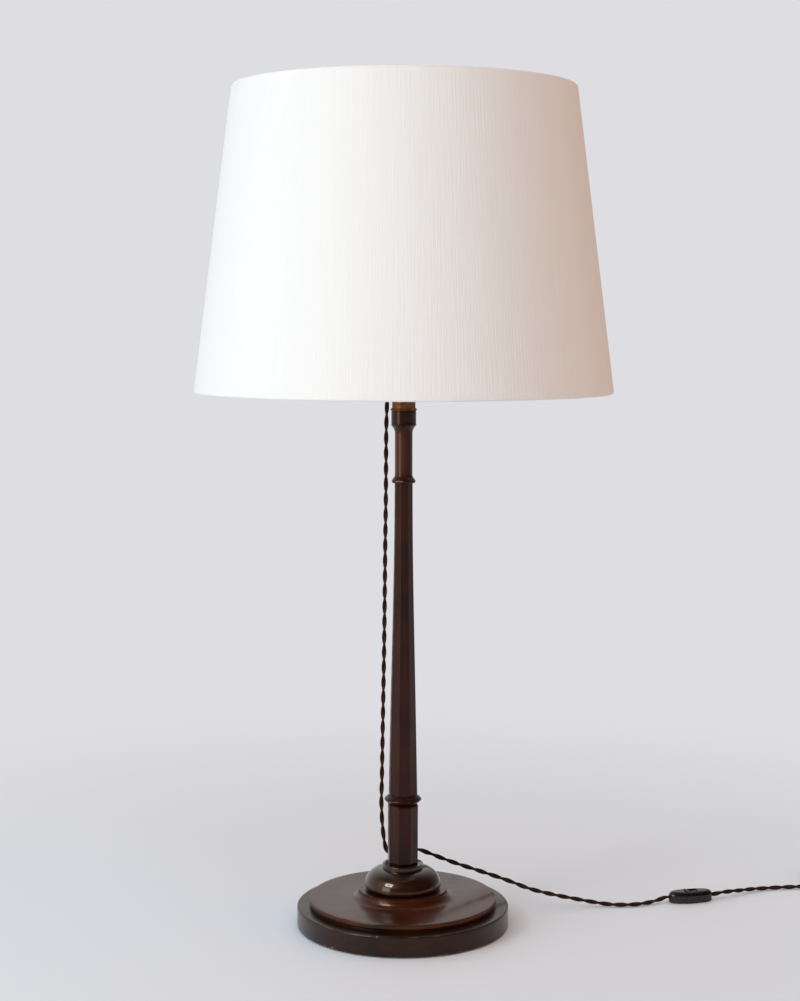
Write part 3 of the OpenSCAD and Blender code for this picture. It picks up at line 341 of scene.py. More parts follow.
def carried_frames(path: np.ndarray) -> tuple[np.ndarray, np.ndarray]:
    """Carries a pair of directions square to a path along it without twist.

    Args:
        path: Points of the path.

    Returns:
        The two directions at each point.
    """
    heading = np.gradient(path, axis=0)
    heading /= np.linalg.norm(heading, axis=1)[:, None]
    first = np.empty_like(path)
    ahead = np.array([0.3, 0.5, 0.8])
    for i, t in enumerate(heading):
        ahead = ahead - (ahead @ t) * t
        ahead = ahead / np.linalg.norm(ahead)
        first[i] = ahead
    return first, np.cross(heading, first)


def tube_rings(path: np.ndarray, radius: float, sides: int) -> np.ndarray:
    """Rings of a round tube: centre + radius (cos a u + sin a v) about each path point.

    Args:
        path: Points of the tube's middle line.
        radius: Radius of the tube.
        sides: Points of each ring.

    Returns:
        One ring for each point of the path.
    """
    u, v = carried_frames(path)
    angle = full_turn(sides)[None, :, None]
    return path[:, None] + radius * (np.cos(angle) * u[:, None] + np.sin(angle) * v[:, None])


def joined(name: str, parts: Sequence[bpy.types.Object]) -> bpy.types.Object:
    """Joins objects into one.

    Args:
        name: Name of the whole.
        parts: Objects, of which the first one takes in the others.

    Returns:
        The joined object.
    """
    for piece in parts:
        piece.select_set(True)
    bpy.context.view_layer.objects.active = parts[0]
    with bpy.context.temp_override(
        active_object=parts[0], object=parts[0], selected_editable_objects=list(parts)
    ):
        bpy.ops.object.join()
    parts[0].select_set(False)
    parts[0].name = parts[0].data.name = name
    return parts[0]


def blank_material(name: str) -> tuple[bpy.types.Material, bpy.types.NodeTree, bpy.types.Node]:
    """Makes a material that holds one Principled shader.

    Args:
        name: Name of the material.

    Returns:
        The material, its node tree and the shader node.
    """
    material = bpy.data.materials.new(name)
    material.use_nodes = True
    return material, material.node_tree, material.node_tree.nodes["Principled BSDF"]


@dataclass(frozen=True)
class Finish:
    """A surface of one real material.

    The sizes of its patterns are in mm; 1000 / n is the size of which n fill a metre.
    """

    name: str
    slot: Slot

    def inputs(self, tree: bpy.types.NodeTree) -> dict[str, Any]:
        """Adds the nodes of the look and says what each input of the shader gets.

        Args:
            tree: Node tree of the material.

        Returns:
            What each input of the shader gets.
        """
        raise NotImplementedError

    def build(self) -> bpy.types.Material:
        """Makes the material.

        Returns:
            The material, under the finish's name.
        """
        material, tree, shader = blank_material(self.name)
        feed(tree, shader, self.inputs(tree))
        return material


@dataclass(frozen=True)
class PolishedMahogany(Finish):
    """Turned and planed mahogany under many thin coats of shellac.

    The shellac gives a clear, slightly soft reflection over dark red-brown wood, with fine
    dark pores along the grain, paler wood where an edge is worn through and on spots of
    painted highlight, and browner wood on one side as a painted highlight.
    """

    grain: Grain = Grain.UPRIGHT
    dark: str = "#220e06"
    light: str = "#4c1e0c"
    # colour of worn edges, and of spots of painted highlight
    rubbed_and_glint: str = "#8a5a3c"
    # colour of the painted highlight on one side of the neck
    highlight_brown: str = "#58301e"
    fibre: str = "#d09468"
    filler: str = "#150906"
    figure: float = 4.0
    pore: float = 0.35
    cloud: float = 1000 / 18
    fleck: float = 1000 / 260
    ripple: float = 1000 / 45
    roughness: float = 0.36
    worn_roughness: float = 0.3
    coat: float = 0.5
    coat_roughness: float = 0.13

    def inputs(self, tree: bpy.types.NodeTree) -> dict[str, Any]:
        """Lays figure, pores, painted highlights and the worn edges over each other.

        Args:
            tree: Node tree of the material.

        Returns:
            What each input of the shader gets.
        """
        place = add_node(tree, "TexCoord", output="Object")
        stretch = add_node(tree, "Mapping", {"Vector": place, "Scale": self.grain.value})
        figure = add_node(tree, "TexNoise", {
            "Vector": stretch, "Scale": 1 / (self.figure * MM), "Detail": 4.0, "Roughness": 0.6,
        })
        cloud = add_node(tree, "TexNoise", {"Vector": place, "Scale": 1 / (self.cloud * MM)})
        tone = add_node(tree, "Math", {0: figure, 1: 0.65, 2: cloud}, operation="MULTIPLY_ADD")
        amount = add_node(tree, "MapRange", {"Value": tone, "From Min": 0.6, "From Max": 1.05})
        colour = add_node(
            tree, "Mix", {0: amount, 6: self.dark, 7: self.light}, 2, data_type="RGBA"
        )
        grit = add_node(tree, "TexNoise", {
            "Vector": stretch, "Scale": 1 / (self.pore * MM), "Detail": 1.0,
        })
        pores = add_node(tree, "MapRange", {"Value": grit, "From Min": 0.62, "From Max": 0.74})
        mark = add_node(tree, "Attribute", output="Fac", attribute_name="wear_and_glint")
        fleck = add_node(tree, "TexNoise", {
            "Vector": place, "Scale": 1 / (self.fleck * MM), "Detail": 3.0,
        })
        rub = add_node(tree, "Math", {0: mark, 1: fleck}, operation="MULTIPLY")
        # worn edges, and spots of painted highlight on the bead
        worn = add_node(tree, "MapRange", {"Value": rub, "From Min": 0.34, "From Max": 0.62})
        # painted highlight: browner wood on the neck's lit side
        painted_highlight = add_node(tree, "Attribute", output="Fac", attribute_name="painted_highlight")
        for share, over in ((pores, self.filler), (painted_highlight, self.highlight_brown), (worn, self.rubbed_and_glint)):
            colour = add_node(tree, "Mix", {0: share, 6: colour, 7: over}, 2, data_type="RGBA")
        gloss = add_node(tree, "MapRange", {
            "Value": cloud, "From Min": 0.3, "From Max": 0.7,
            "To Min": self.roughness - 0.05, "To Max": self.roughness + 0.08,
        })
        ripple = add_node(tree, "TexNoise", {
            "Vector": place, "Scale": 1 / (self.ripple * MM), "Detail": 1.0,
        })
        height = add_node(tree, "Math", {0: pores, 1: -0.25, 2: ripple}, operation="MULTIPLY_ADD")
        return {
            "Base Color": colour,
            "Roughness": add_node(
                tree, "Math", {0: worn, 1: self.worn_roughness, 2: gloss},
                operation="MULTIPLY_ADD",
            ),
            "Normal": add_node(tree, "Bump", {
                "Height": height, "Strength": 0.35, "Distance": 0.3 * MM,
            }),
            "Specular Tint": self.fibre,
            "IOR": 1.45,
            "Coat Weight": self.coat,
            "Coat Roughness": self.coat_roughness,
            "Coat IOR": 1.4,
        }


@dataclass(frozen=True)
class AgedMetal(Finish):
    """Metal that was turned or drawn bright and has dulled since.

    A soft reflection, brown tarnish in clouds and fine rubbing marks.
    """

    bright: str = "#7b5331"
    tarnish: str = "#4a301b"
    roughness: float = 0.46
    dulled: float = 0.22
    cloud: float = 6.0
    cover: float = 0.5
    rub: float = 1000 / 900

    def inputs(self, tree: bpy.types.NodeTree) -> dict[str, Any]:
        """Spreads the tarnish, which is also the duller part.

        Args:
            tree: Node tree of the material.

        Returns:
            What each input of the shader gets.
        """
        place = add_node(tree, "TexCoord", output="Object")
        cloud = add_node(tree, "TexNoise", {
            "Vector": place, "Scale": 1 / (self.cloud * MM), "Detail": 5.0, "Roughness": 0.65,
        })
        amount = add_node(tree, "MapRange", {
            "Value": cloud, "From Min": 0.68 - 0.36 * self.cover,
            "From Max": 0.95 - 0.4 * self.cover,
        })
        rub = add_node(tree, "TexNoise", {"Vector": place, "Scale": 1 / (self.rub * MM)})
        return {
            "Base Color": add_node(
                tree, "Mix", {0: amount, 6: self.bright, 7: self.tarnish}, 2, data_type="RGBA"
            ),
            "Roughness": add_node(
                tree, "Math", {0: amount, 1: self.dulled, 2: self.roughness},
                operation="MULTIPLY_ADD",
            ),
            "Normal": add_node(tree, "Bump", {
                "Height": rub, "Strength": 0.25, "Distance": 0.1 * MM,
            }),
            "Metallic": 1.0,
        }


@dataclass(frozen=True)
class Moulding(Finish):
    """Compression-moulded phenolic: near black, glossy, with faint brown mottling."""

    base: str = "#0f0d0c"
    mottle: str = "#1d1512"
    roughness: float = 0.2
    dulled: float = 0.12
    grain: float = 3.0
    rub: float = 1000 / 700

    def inputs(self, tree: bpy.types.NodeTree) -> dict[str, Any]:
        """Spreads the mottling, which is also the duller part.

        Args:
            tree: Node tree of the material.

        Returns:
            What each input of the shader gets.
        """
        place = add_node(tree, "TexCoord", output="Object")
        cloud = add_node(tree, "TexNoise", {
            "Vector": place, "Scale": 1 / (self.grain * MM), "Detail": 4.0, "Roughness": 0.6,
        })
        amount = add_node(tree, "MapRange", {"Value": cloud, "From Min": 0.4, "From Max": 0.65})
        rub = add_node(tree, "TexNoise", {"Vector": place, "Scale": 1 / (self.rub * MM)})
        return {
            "Base Color": add_node(
                tree, "Mix", {0: amount, 6: self.base, 7: self.mottle}, 2, data_type="RGBA"
            ),
            "Roughness": add_node(
                tree, "Math", {0: amount, 1: self.dulled, 2: self.roughness},
                operation="MULTIPLY_ADD",
            ),
            "Normal": add_node(tree, "Bump", {
                "Height": rub, "Strength": 0.2, "Distance": 0.1 * MM,
            }),
        }


@dataclass(frozen=True)
class SlubSilk(Finish):
    """Handwoven silk bonded to card: matt, with thick uneven threads running up the shade.

    A thread pitch of 0.8 mm is twice the real one, so that it shows.
    """

    base: str = "#f0f0ee"
    thread: str = "#eeedeb"
    slub_width: float = 1.4
    slub_length: float = 90.0
    weave: float = 0.8
    weave_share: float = 0.12

    def inputs(self, tree: bpy.types.NodeTree) -> dict[str, Any]:
        """Lays wide and fine slubs over the weave.

        Args:
            tree: Node tree of the material.

        Returns:
            What each input of the shader gets.
        """
        place = add_node(tree, "TexCoord", output="UV")
        streaks = []
        for finer in (1, 3):
            width, length = self.slub_width / finer * MM, self.slub_length / finer * MM
            cells = add_node(tree, "Mapping", {
                "Vector": place, "Scale": (1 / width, 1 / length, 1.0),
            })
            streaks.append(add_node(
                tree, "TexNoise", {"Vector": cells, "Scale": 1.0, "Roughness": 0.55},
                noise_dimensions="2D",
            ))
        slub = add_node(
            tree, "Math", {0: streaks[1], 1: 0.5, 2: streaks[0]}, operation="MULTIPLY_ADD"
        )
        thick = add_node(tree, "MapRange", {"Value": slub, "From Min": 0.55, "From Max": 1.0})
        waves = []
        for part in "XY":
            metres = add_node(tree, "SeparateXYZ", {0: place}, part)
            turn = add_node(
                tree, "Math", {0: metres, 1: 2 * math.pi / (self.weave * MM)},
                operation="MULTIPLY",
            )
            waves.append(add_node(tree, "Math", {0: turn}, operation="SINE"))
        cloth = add_node(tree, "Math", dict(enumerate(waves)), operation="MULTIPLY")
        height = add_node(
            tree, "Math", {0: cloth, 1: self.weave_share, 2: thick}, operation="MULTIPLY_ADD"
        )
        return {
            "Base Color": add_node(
                tree, "Mix", {0: thick, 6: self.base, 7: self.thread}, 2, data_type="RGBA"
            ),
            "Normal": add_node(tree, "Bump", {
                "Height": height, "Strength": 0.65, "Distance": 0.18 * MM,
            }),
            "Roughness": 0.72,
            "Sheen Weight": 0.12,
            "Sheen Roughness": 0.5,
            "Specular IOR Level": 0.3,
        }


@dataclass(frozen=True)
class BraidedSilk(Finish):
    """Silk braided over one core of the flex: fine crossing threads with a soft sheen."""

    base: str = "#180d0a"
    thread: str = "#331d15"
    sheen: str = "#8a5a48"
    glint: str = "#c09078"
    carriers: int = 8
    lay: float = 2.4

    def inputs(self, tree: bpy.types.NodeTree) -> dict[str, Any]:
        """Crosses two sets of ridges; u runs round the strand and v along it in metres.

        Args:
            tree: Node tree of the material.

        Returns:
            What each input of the shader gets.
        """
        place = add_node(tree, "TexCoord", output="UV")
        u = add_node(tree, "SeparateXYZ", {0: place}, "X")
        v = add_node(tree, "SeparateXYZ", {0: place}, "Y")
        ridges = []
        for hand in (-1, 1):
            climb = add_node(
                tree, "Math", {0: v, 1: hand * 2 * math.pi / (self.lay * MM)},
                operation="MULTIPLY",
            )
            turn = add_node(
                tree, "Math", {0: u, 1: 2 * math.pi * self.carriers, 2: climb},
                operation="MULTIPLY_ADD",
            )
            ridges.append(add_node(tree, "Math", {0: turn}, operation="SINE"))
        height = add_node(tree, "Math", dict(enumerate(ridges)), operation="MAXIMUM")
        amount = add_node(tree, "MapRange", {"Value": height, "From Min": -0.4, "From Max": 1.0})
        return {
            "Base Color": add_node(
                tree, "Mix", {0: amount, 6: self.base, 7: self.thread}, 2, data_type="RGBA"
            ),
            "Normal": add_node(tree, "Bump", {
                "Height": height, "Strength": 0.6, "Distance": 0.2 * MM,
            }),
            "Roughness": 0.6,
            "Sheen Weight": 0.12,
            "Sheen Tint": self.sheen,
            "Specular Tint": self.glint,
        }


@dataclass(frozen=True)
class FineMatt(Finish):
    """A pale or dark matt surface with a small grain, such as card, felt or glazed clay."""

    base: str = "#f2f0ea"
    other: str = "#e6e2d8"
    roughness: float = 0.6
    grain: float = 1.0
    relief: float = 0.1
    fuzz: float = 0.0
    coat: float = 0.0

    def inputs(self, tree: bpy.types.NodeTree) -> dict[str, Any]:
        """Uses one noise for the colour and the relief.

        Args:
            tree: Node tree of the material.

        Returns:
            What each input of the shader gets.
        """
        grain = add_node(tree, "TexNoise", {
            "Vector": add_node(tree, "TexCoord", output="Object"),
            "Scale": 1 / (self.grain * MM), "Detail": 4.0, "Roughness": 0.7,
        })
        amount = add_node(tree, "MapRange", {"Value": grain, "From Min": 0.35, "From Max": 0.7})
        return {
            "Base Color": add_node(
                tree, "Mix", {0: amount, 6: self.base, 7: self.other}, 2, data_type="RGBA"
            ),
            "Normal": add_node(tree, "Bump", {
                "Height": grain, "Strength": 0.5, "Distance": self.relief * MM,
            }),
            "Roughness": self.roughness,
            "Sheen Weight": self.fuzz,
            "Coat Weight": self.coat,
            "Coat Roughness": 0.08,
        }


@dataclass(frozen=True)
class BlownGlass(Finish):
    """Thin blown glass: clear and smooth, with faint waves."""

    tint: str = "#f4faf8"
    roughness: float = 0.0
    wave: float = 1000 / 30

    def inputs(self, tree: bpy.types.NodeTree) -> dict[str, Any]:
        """Adds the waves.

        Args:
            tree: Node tree of the material.

        Returns:
            What each input of the shader gets.
        """
        wave = add_node(tree, "TexNoise", {
            "Vector": add_node(tree, "TexCoord", output="Object"),
            "Scale": 1 / (self.wave * MM), "Detail": 1.0,
        })
        return {
            "Base Color": self.tint,
            "Normal": add_node(tree, "Bump", {
                "Height": wave, "Strength": 0.1, "Distance": 0.2 * MM,
            }),
            "Roughness": self.roughness,
            "Transmission Weight": 1.0,
            "IOR": 1.46,
        }


FINISHES: tuple[Finish, ...] = (
    PolishedMahogany("mahogany_base", Slot.WOOD, grain=Grain.FLAT),
    PolishedMahogany(
        "mahogany_plinth", Slot.WOOD, grain=Grain.FLAT, dark="#150b08", light="#2c150d",
        fibre="#a88c7c",
    ),
    PolishedMahogany(
        "mahogany_bun", Slot.WOOD, grain=Grain.FLAT, dark="#150907", light="#35170b",
        fibre="#d09a6c", coat=1.0, coat_roughness=0.07,
    ),
    # the column's worn colour is also its painted highlight on the bead's nose
    PolishedMahogany(
        "mahogany_column", Slot.WOOD, dark="#120705", light="#2f1009", rubbed_and_glint="#946650",
        fibre="#c07c60", coat=0.4,
    ),
    AgedMetal("old_brass", Slot.BRASS),
    AgedMetal("lacquered_brass", Slot.BRASS, bright="#b8924e", tarnish="#8a6530", cover=0.3),
    AgedMetal("zinc_plated_steel", Slot.STEEL, bright="#b9bbbf", tarnish="#8d8c8a", roughness=0.28),
    AgedMetal("tungsten", Slot.STEEL, bright="#77777a", tarnish="#4c4c4f", roughness=0.45),
    Moulding("phenolic_black", Slot.BLACK),
    SlubSilk("slub_silk", Slot.SILK),
    FineMatt("lining_card", Slot.LINING, relief=0.05, grain=0.8),
    BraidedSilk("braided_flex", Slot.FLEX),
    FineMatt("green_baize", Slot.BAIZE, "#31503c", "#223a2b", 0.95, 1.2, 0.6, 0.4),
    FineMatt("glazed_porcelain", Slot.PORCELAIN, "#efeade", "#e6dfd0", 0.25, 3.0, 0.02, 0.0, 0.8),
    FineMatt("vulcanised_fibre", Slot.FIBRE, "#5b4030", "#46301f", 0.7, 0.6, 0.1),
    FineMatt("tie_tape", Slot.FIBRE, "#8f8063", "#74664c", 0.9, 0.4, 0.1),
    BlownGlass("bulb_glass", Slot.GLASS),
)

NODE_FINISHES: dict[str, tuple[str, ...]] = {
    "green_baize": ("base_felt",),
    "zinc_plated_steel": (
        "base_washer", "base_screw", "terminal_screws", "contact_springs", "bulb_cap",
        "pivot_band", "spider_arms", "top_wire", "bottom_wire", "rocker_pin",
        "switch_screws", "plug_screw",
    ),
    "old_brass": (
        "holder_flange", "flange_screws", "holder_nipple", "holder_cap", "holder_terminals",
        "contact_plungers", "holder_barrel", "carrier_collar", "carrier_ring", "rest_ring",
        "pivot_pins",
    ),
    "lacquered_brass": ("switch_contacts", "plug_earth_pin", "plug_power_pins", "plug_clips"),
    "phenolic_black": (
        "entry_bush", "shade_ring", "bulb_contacts", "switch_base", "switch_cover",
        "switch_rocker", "plug_base", "plug_cover",
    ),
    "glazed_porcelain": ("holder_core", "plug_fuse"),
    "bulb_glass": ("bulb_glass", "bulb_stem"),
    "vulcanised_fibre": ("plug_grip",),
}


@dataclass
class Workshop:
    """Holds the finishes and hands pieces over to the frame."""

    frame: dict[str, Any]
    materials: dict[str, bpy.types.Material] = field(default_factory=dict)
    slots: dict[str, Slot] = field(default_factory=dict)

    def mix(self, finishes: Iterable[Finish]) -> None:
        """Makes every material once.

        Args:
            finishes: The finishes.
        """
        for finish in finishes:
            self.materials[finish.name] = finish.build()
            self.slots[finish.name] = finish.slot

    def place(
        self, piece: bpy.types.Object, finish: str, body: Body, nodes: Sequence[str] = ()
    ) -> bpy.types.Object:
        """Gives a new piece its finish and body, and hides the solids that it stands for.

        Args:
            piece: The new piece.
            finish: Name of its finish.
            body: Body that carries it.
            nodes: Solids that it stands for.

        Returns:
            The same piece.
        """
        piece.data.materials.clear()
        piece.data.materials.append(self.materials[finish])
        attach(piece, body.value)
        if nodes:
            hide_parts(*nodes)
        LOG.info("%s: %d faces, %s", piece.name, len(piece.data.polygons), finish)
        return piece

    def dress_solids(self, table: Mapping[str, Sequence[str]]) -> None:
        """Gives the solids that stay in view their finishes.

        Args:
            table: Solids that get each finish.
        """
        for finish, names in table.items():
            for name in names:
                mesh = self.frame["nodes"][name].data
                mesh.materials.clear()
                mesh.materials.append(self.materials[finish])
            LOG.info("%s on %d solids", finish, len(names))


def round_extent(node: str) -> tuple[float, float, float]:
    """Measures a solid that stands about the lamp's axis.

    Args:
        node: Name of the solid.

    Returns:
        Its greatest radius, its lowest and its highest point, in mm.
    """
    low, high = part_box(node)
    return max(high.x, high.y, -low.x, -low.y) / MM, low.z / MM, high.z / MM


@dataclass(frozen=True)
class Lamp:
    """One soft rectangular lamp: place and size in metres, power in watts."""

    name: str
    place: tuple[float, float, float]
    size: tuple[float, float]
    power: float
    colour: str
    glint: bool = False

    def hang(self, target: Vector) -> None:
        """Hangs the lamp so that it faces a point; only polished surfaces show a glint lamp.

        Args:
            target: The point, in metres.
        """
        data = bpy.data.lights.new(self.name, "AREA")
        data.shape = "RECTANGLE"
        data.size, data.size_y = self.size
        data.energy = self.power
        data.color = linear(self.colour)[:3]
        lamp = bpy.data.objects.new(self.name, data)
        lamp.visible_diffuse = not self.glint
        place = Vector(self.place)
        turn = (target - place).to_track_quat("-Z", "Y").to_matrix().to_4x4()
        lamp.matrix_world = Matrix.Translation(place) @ turn
        bpy.context.scene.collection.objects.link(lamp)


LAMPS = (
    Lamp("softbox", (-1.58, -1.33, 1.64), (0.5, 0.5), 5.6, "#fdfcfa"),
    Lamp("softbox_glint", (-1.58, -1.33, 1.64), (0.95, 0.8), 48.0, "#ffffff", glint=True),
    Lamp("window", (-2.0, -1.6, 0.42), (1.1, 1.2), 15.0, "#fdfaf2"),
)


@dataclass
class Studio:
    """The photograph's camera, a pale floor just under the lamp's felt, and plain soft light.

    Metres, and linear light in the two fills. A reach is the span of one part of a heading over
    which the light changes: to the right for warm, left and right, and to the back for even and
    back.
    """

    eye: tuple[float, float, float] = (-0.00394, -2.0626, 0.6772)
    pitch: float = 0.09653
    roll: float = 0.00202
    focal_pixels: float = 1885.0
    sensor: float = 36.0
    backdrop: str = "#dedee2"
    floor_colour: str = "#eff3fb"
    floor_half: float = 40.0
    floor_z: float = -0.0002
    floor_fade: tuple[float, float] = (0.3, 1.25)
    felt_glow: float = 0.0005
    fill_plain: tuple[float, float, float, float] = (0.63, 0.695, 0.73, 1.0)
    fill_warm: tuple[float, float, float, float] = (0.53, 0.19, 0.01, 1.0)
    warm_reach: tuple[float, float] = (0.26, 0.6)
    fill_front: float = 1.5
    fill_back: float = 0.86
    even_reach: tuple[float, float] = (-1.0, 1.0)
    seen_front: float = 0.04
    seen_back: float = 0.85
    back_reach: tuple[float, float] = (-0.1, 0.7)
    seen_left: float = 0.8
    left_reach: tuple[float, float] = (-0.95, -0.45)
    seen_right: float = 0.25
    right_reach: tuple[float, float] = (0.0, 0.8)
    aim: tuple[float, float, float] = (0.0, 0.0, 0.5)

    def set_camera(self) -> None:
        """Stands the camera where the photograph was taken."""
        data = bpy.data.cameras.new("camera")
        data.sensor_width = self.sensor
        data.lens = self.focal_pixels * self.sensor / PHOTO_HEIGHT
        camera = bpy.data.objects.new("camera", data)
        camera.matrix_world = (
            Matrix.Translation(self.eye)
            @ Matrix.Rotation(math.pi / 2 - self.pitch, 4, "X")
            @ Matrix.Rotation(self.roll, 4, "Z")
        )
        bpy.context.scene.collection.objects.link(camera)
        bpy.context.scene.camera = camera

    def lay_floor(self) -> None:
        """Lays a wide floor that fades into the backdrop away from the lamp.

        From below it is seen through, and it lets light up to the felt that lies on it.
        """
        mesh = bpy.data.meshes.new("floor")
        half, z = self.floor_half, self.floor_z
        corners = [(-half, -half, z), (half, -half, z), (half, half, z), (-half, half, z)]
        mesh.from_pydata(corners, [], [(0, 1, 2, 3)])
        floor = bpy.data.objects.new("floor", mesh)
        bpy.context.scene.collection.objects.link(floor)
        material, tree, shader = blank_material("floor_paper")
        feed(tree, shader, {
            "Base Color": self.floor_colour, "Roughness": 0.7, "Specular IOR Level": 0.25,
        })
        place = add_node(tree, "TexCoord", output="Object")
        distance = add_node(tree, "VectorMath", {0: place}, "Value", operation="LENGTH")
        near, far = self.floor_fade
        fade = add_node(
            tree, "MapRange", {"Value": distance, "From Min": near, "From Max": far},
            interpolation_type="SMOOTHSTEP",
        )
        seen = add_node(tree, "LightPath", output="Is Camera Ray")
        share = add_node(tree, "Math", {0: fade, 1: seen}, operation="MULTIPLY")
        glow = add_node(tree, "Emission", {"Color": self.backdrop})
        above = add_node(tree, "MixShader", {0: share, 1: shader.outputs[0], 2: glow})
        below = add_node(tree, "NewGeometry", output="Backfacing")
        length = add_node(tree, "LightPath", output="Ray Length")
        close = add_node(tree, "Math", {0: length, 1: self.felt_glow}, operation="LESS_THAN")
        hidden = add_node(tree, "Math", {0: below, 1: close}, operation="MAXIMUM")
        clear = add_node(tree, "BsdfTransparent")
        paper = add_node(tree, "MixShader", {0: hidden, 1: above, 2: clear})
        feed(tree, tree.nodes["Material Output"], {"Surface": paper})
        mesh.materials.append(material)

    def light_room(self) -> None:
        """Fills the room with soft light, warm from the right, before a pale backdrop.

        Matt surfaces get the even fill. Polished ones mirror a room that is bright behind the
        lamp and on the window side, and dark about the camera.
        """
        world = bpy.data.worlds.new("room")
        world.use_nodes = True
        bpy.context.scene.world = world
        tree = world.node_tree
        tree.nodes.clear()
        heading = add_node(tree, "TexCoord", output="Generated")
        right = add_node(tree, "SeparateXYZ", {0: heading}, "X")
        back = add_node(tree, "SeparateXYZ", {0: heading}, "Y")
        warm, even, behind, left, shade = (
            add_node(
                tree, "MapRange",
                {"Value": part, "From Min": reach[0], "From Max": reach[1], "To Min": low,
                 "To Max": high},
                interpolation_type="SMOOTHSTEP",
            )
            for part, reach, low, high in (
                (right, self.warm_reach, 0.0, 1.0),
                (back, self.even_reach, self.fill_front, self.fill_back),
                (back, self.back_reach, self.seen_front, self.seen_back),
                (right, self.left_reach, self.seen_left, 0.0),
                (right, self.right_reach, 1.0, self.seen_right),
            )
        )
        tone = add_node(
            tree, "Mix", {0: warm, 6: self.fill_plain, 7: self.fill_warm}, 2, data_type="RGBA"
        )
        fill = add_node(tree, "Background", {"Color": tone, "Strength": even})
        shaded = add_node(tree, "Math", {0: behind, 1: shade}, operation="MULTIPLY")
        level = add_node(tree, "Math", {0: shaded, 1: left}, operation="MAXIMUM")
        mirrored = add_node(tree, "Background", {"Strength": level})
        pale = add_node(tree, "Background", {"Color": self.backdrop, "Strength": 1.0})
        glossy = add_node(tree, "LightPath", output="Is Glossy Ray")
        inside = add_node(tree, "MixShader", {0: glossy, 1: fill, 2: mirrored})
        camera = add_node(tree, "LightPath", output="Is Camera Ray")
        through = add_node(tree, "LightPath", output="Is Transmission Ray")
        direct = add_node(tree, "Math", {0: camera, 1: through}, operation="MAXIMUM")
        room = add_node(tree, "MixShader", {0: direct, 1: inside, 2: pale})
        add_node(tree, "OutputWorld", {"Surface": room})

    def hang_lamps(self) -> None:
        """Hangs a softbox high on the left, with its glint on polish, and a low tall window."""
        for lamp in LAMPS:
            lamp.hang(Vector(self.aim))


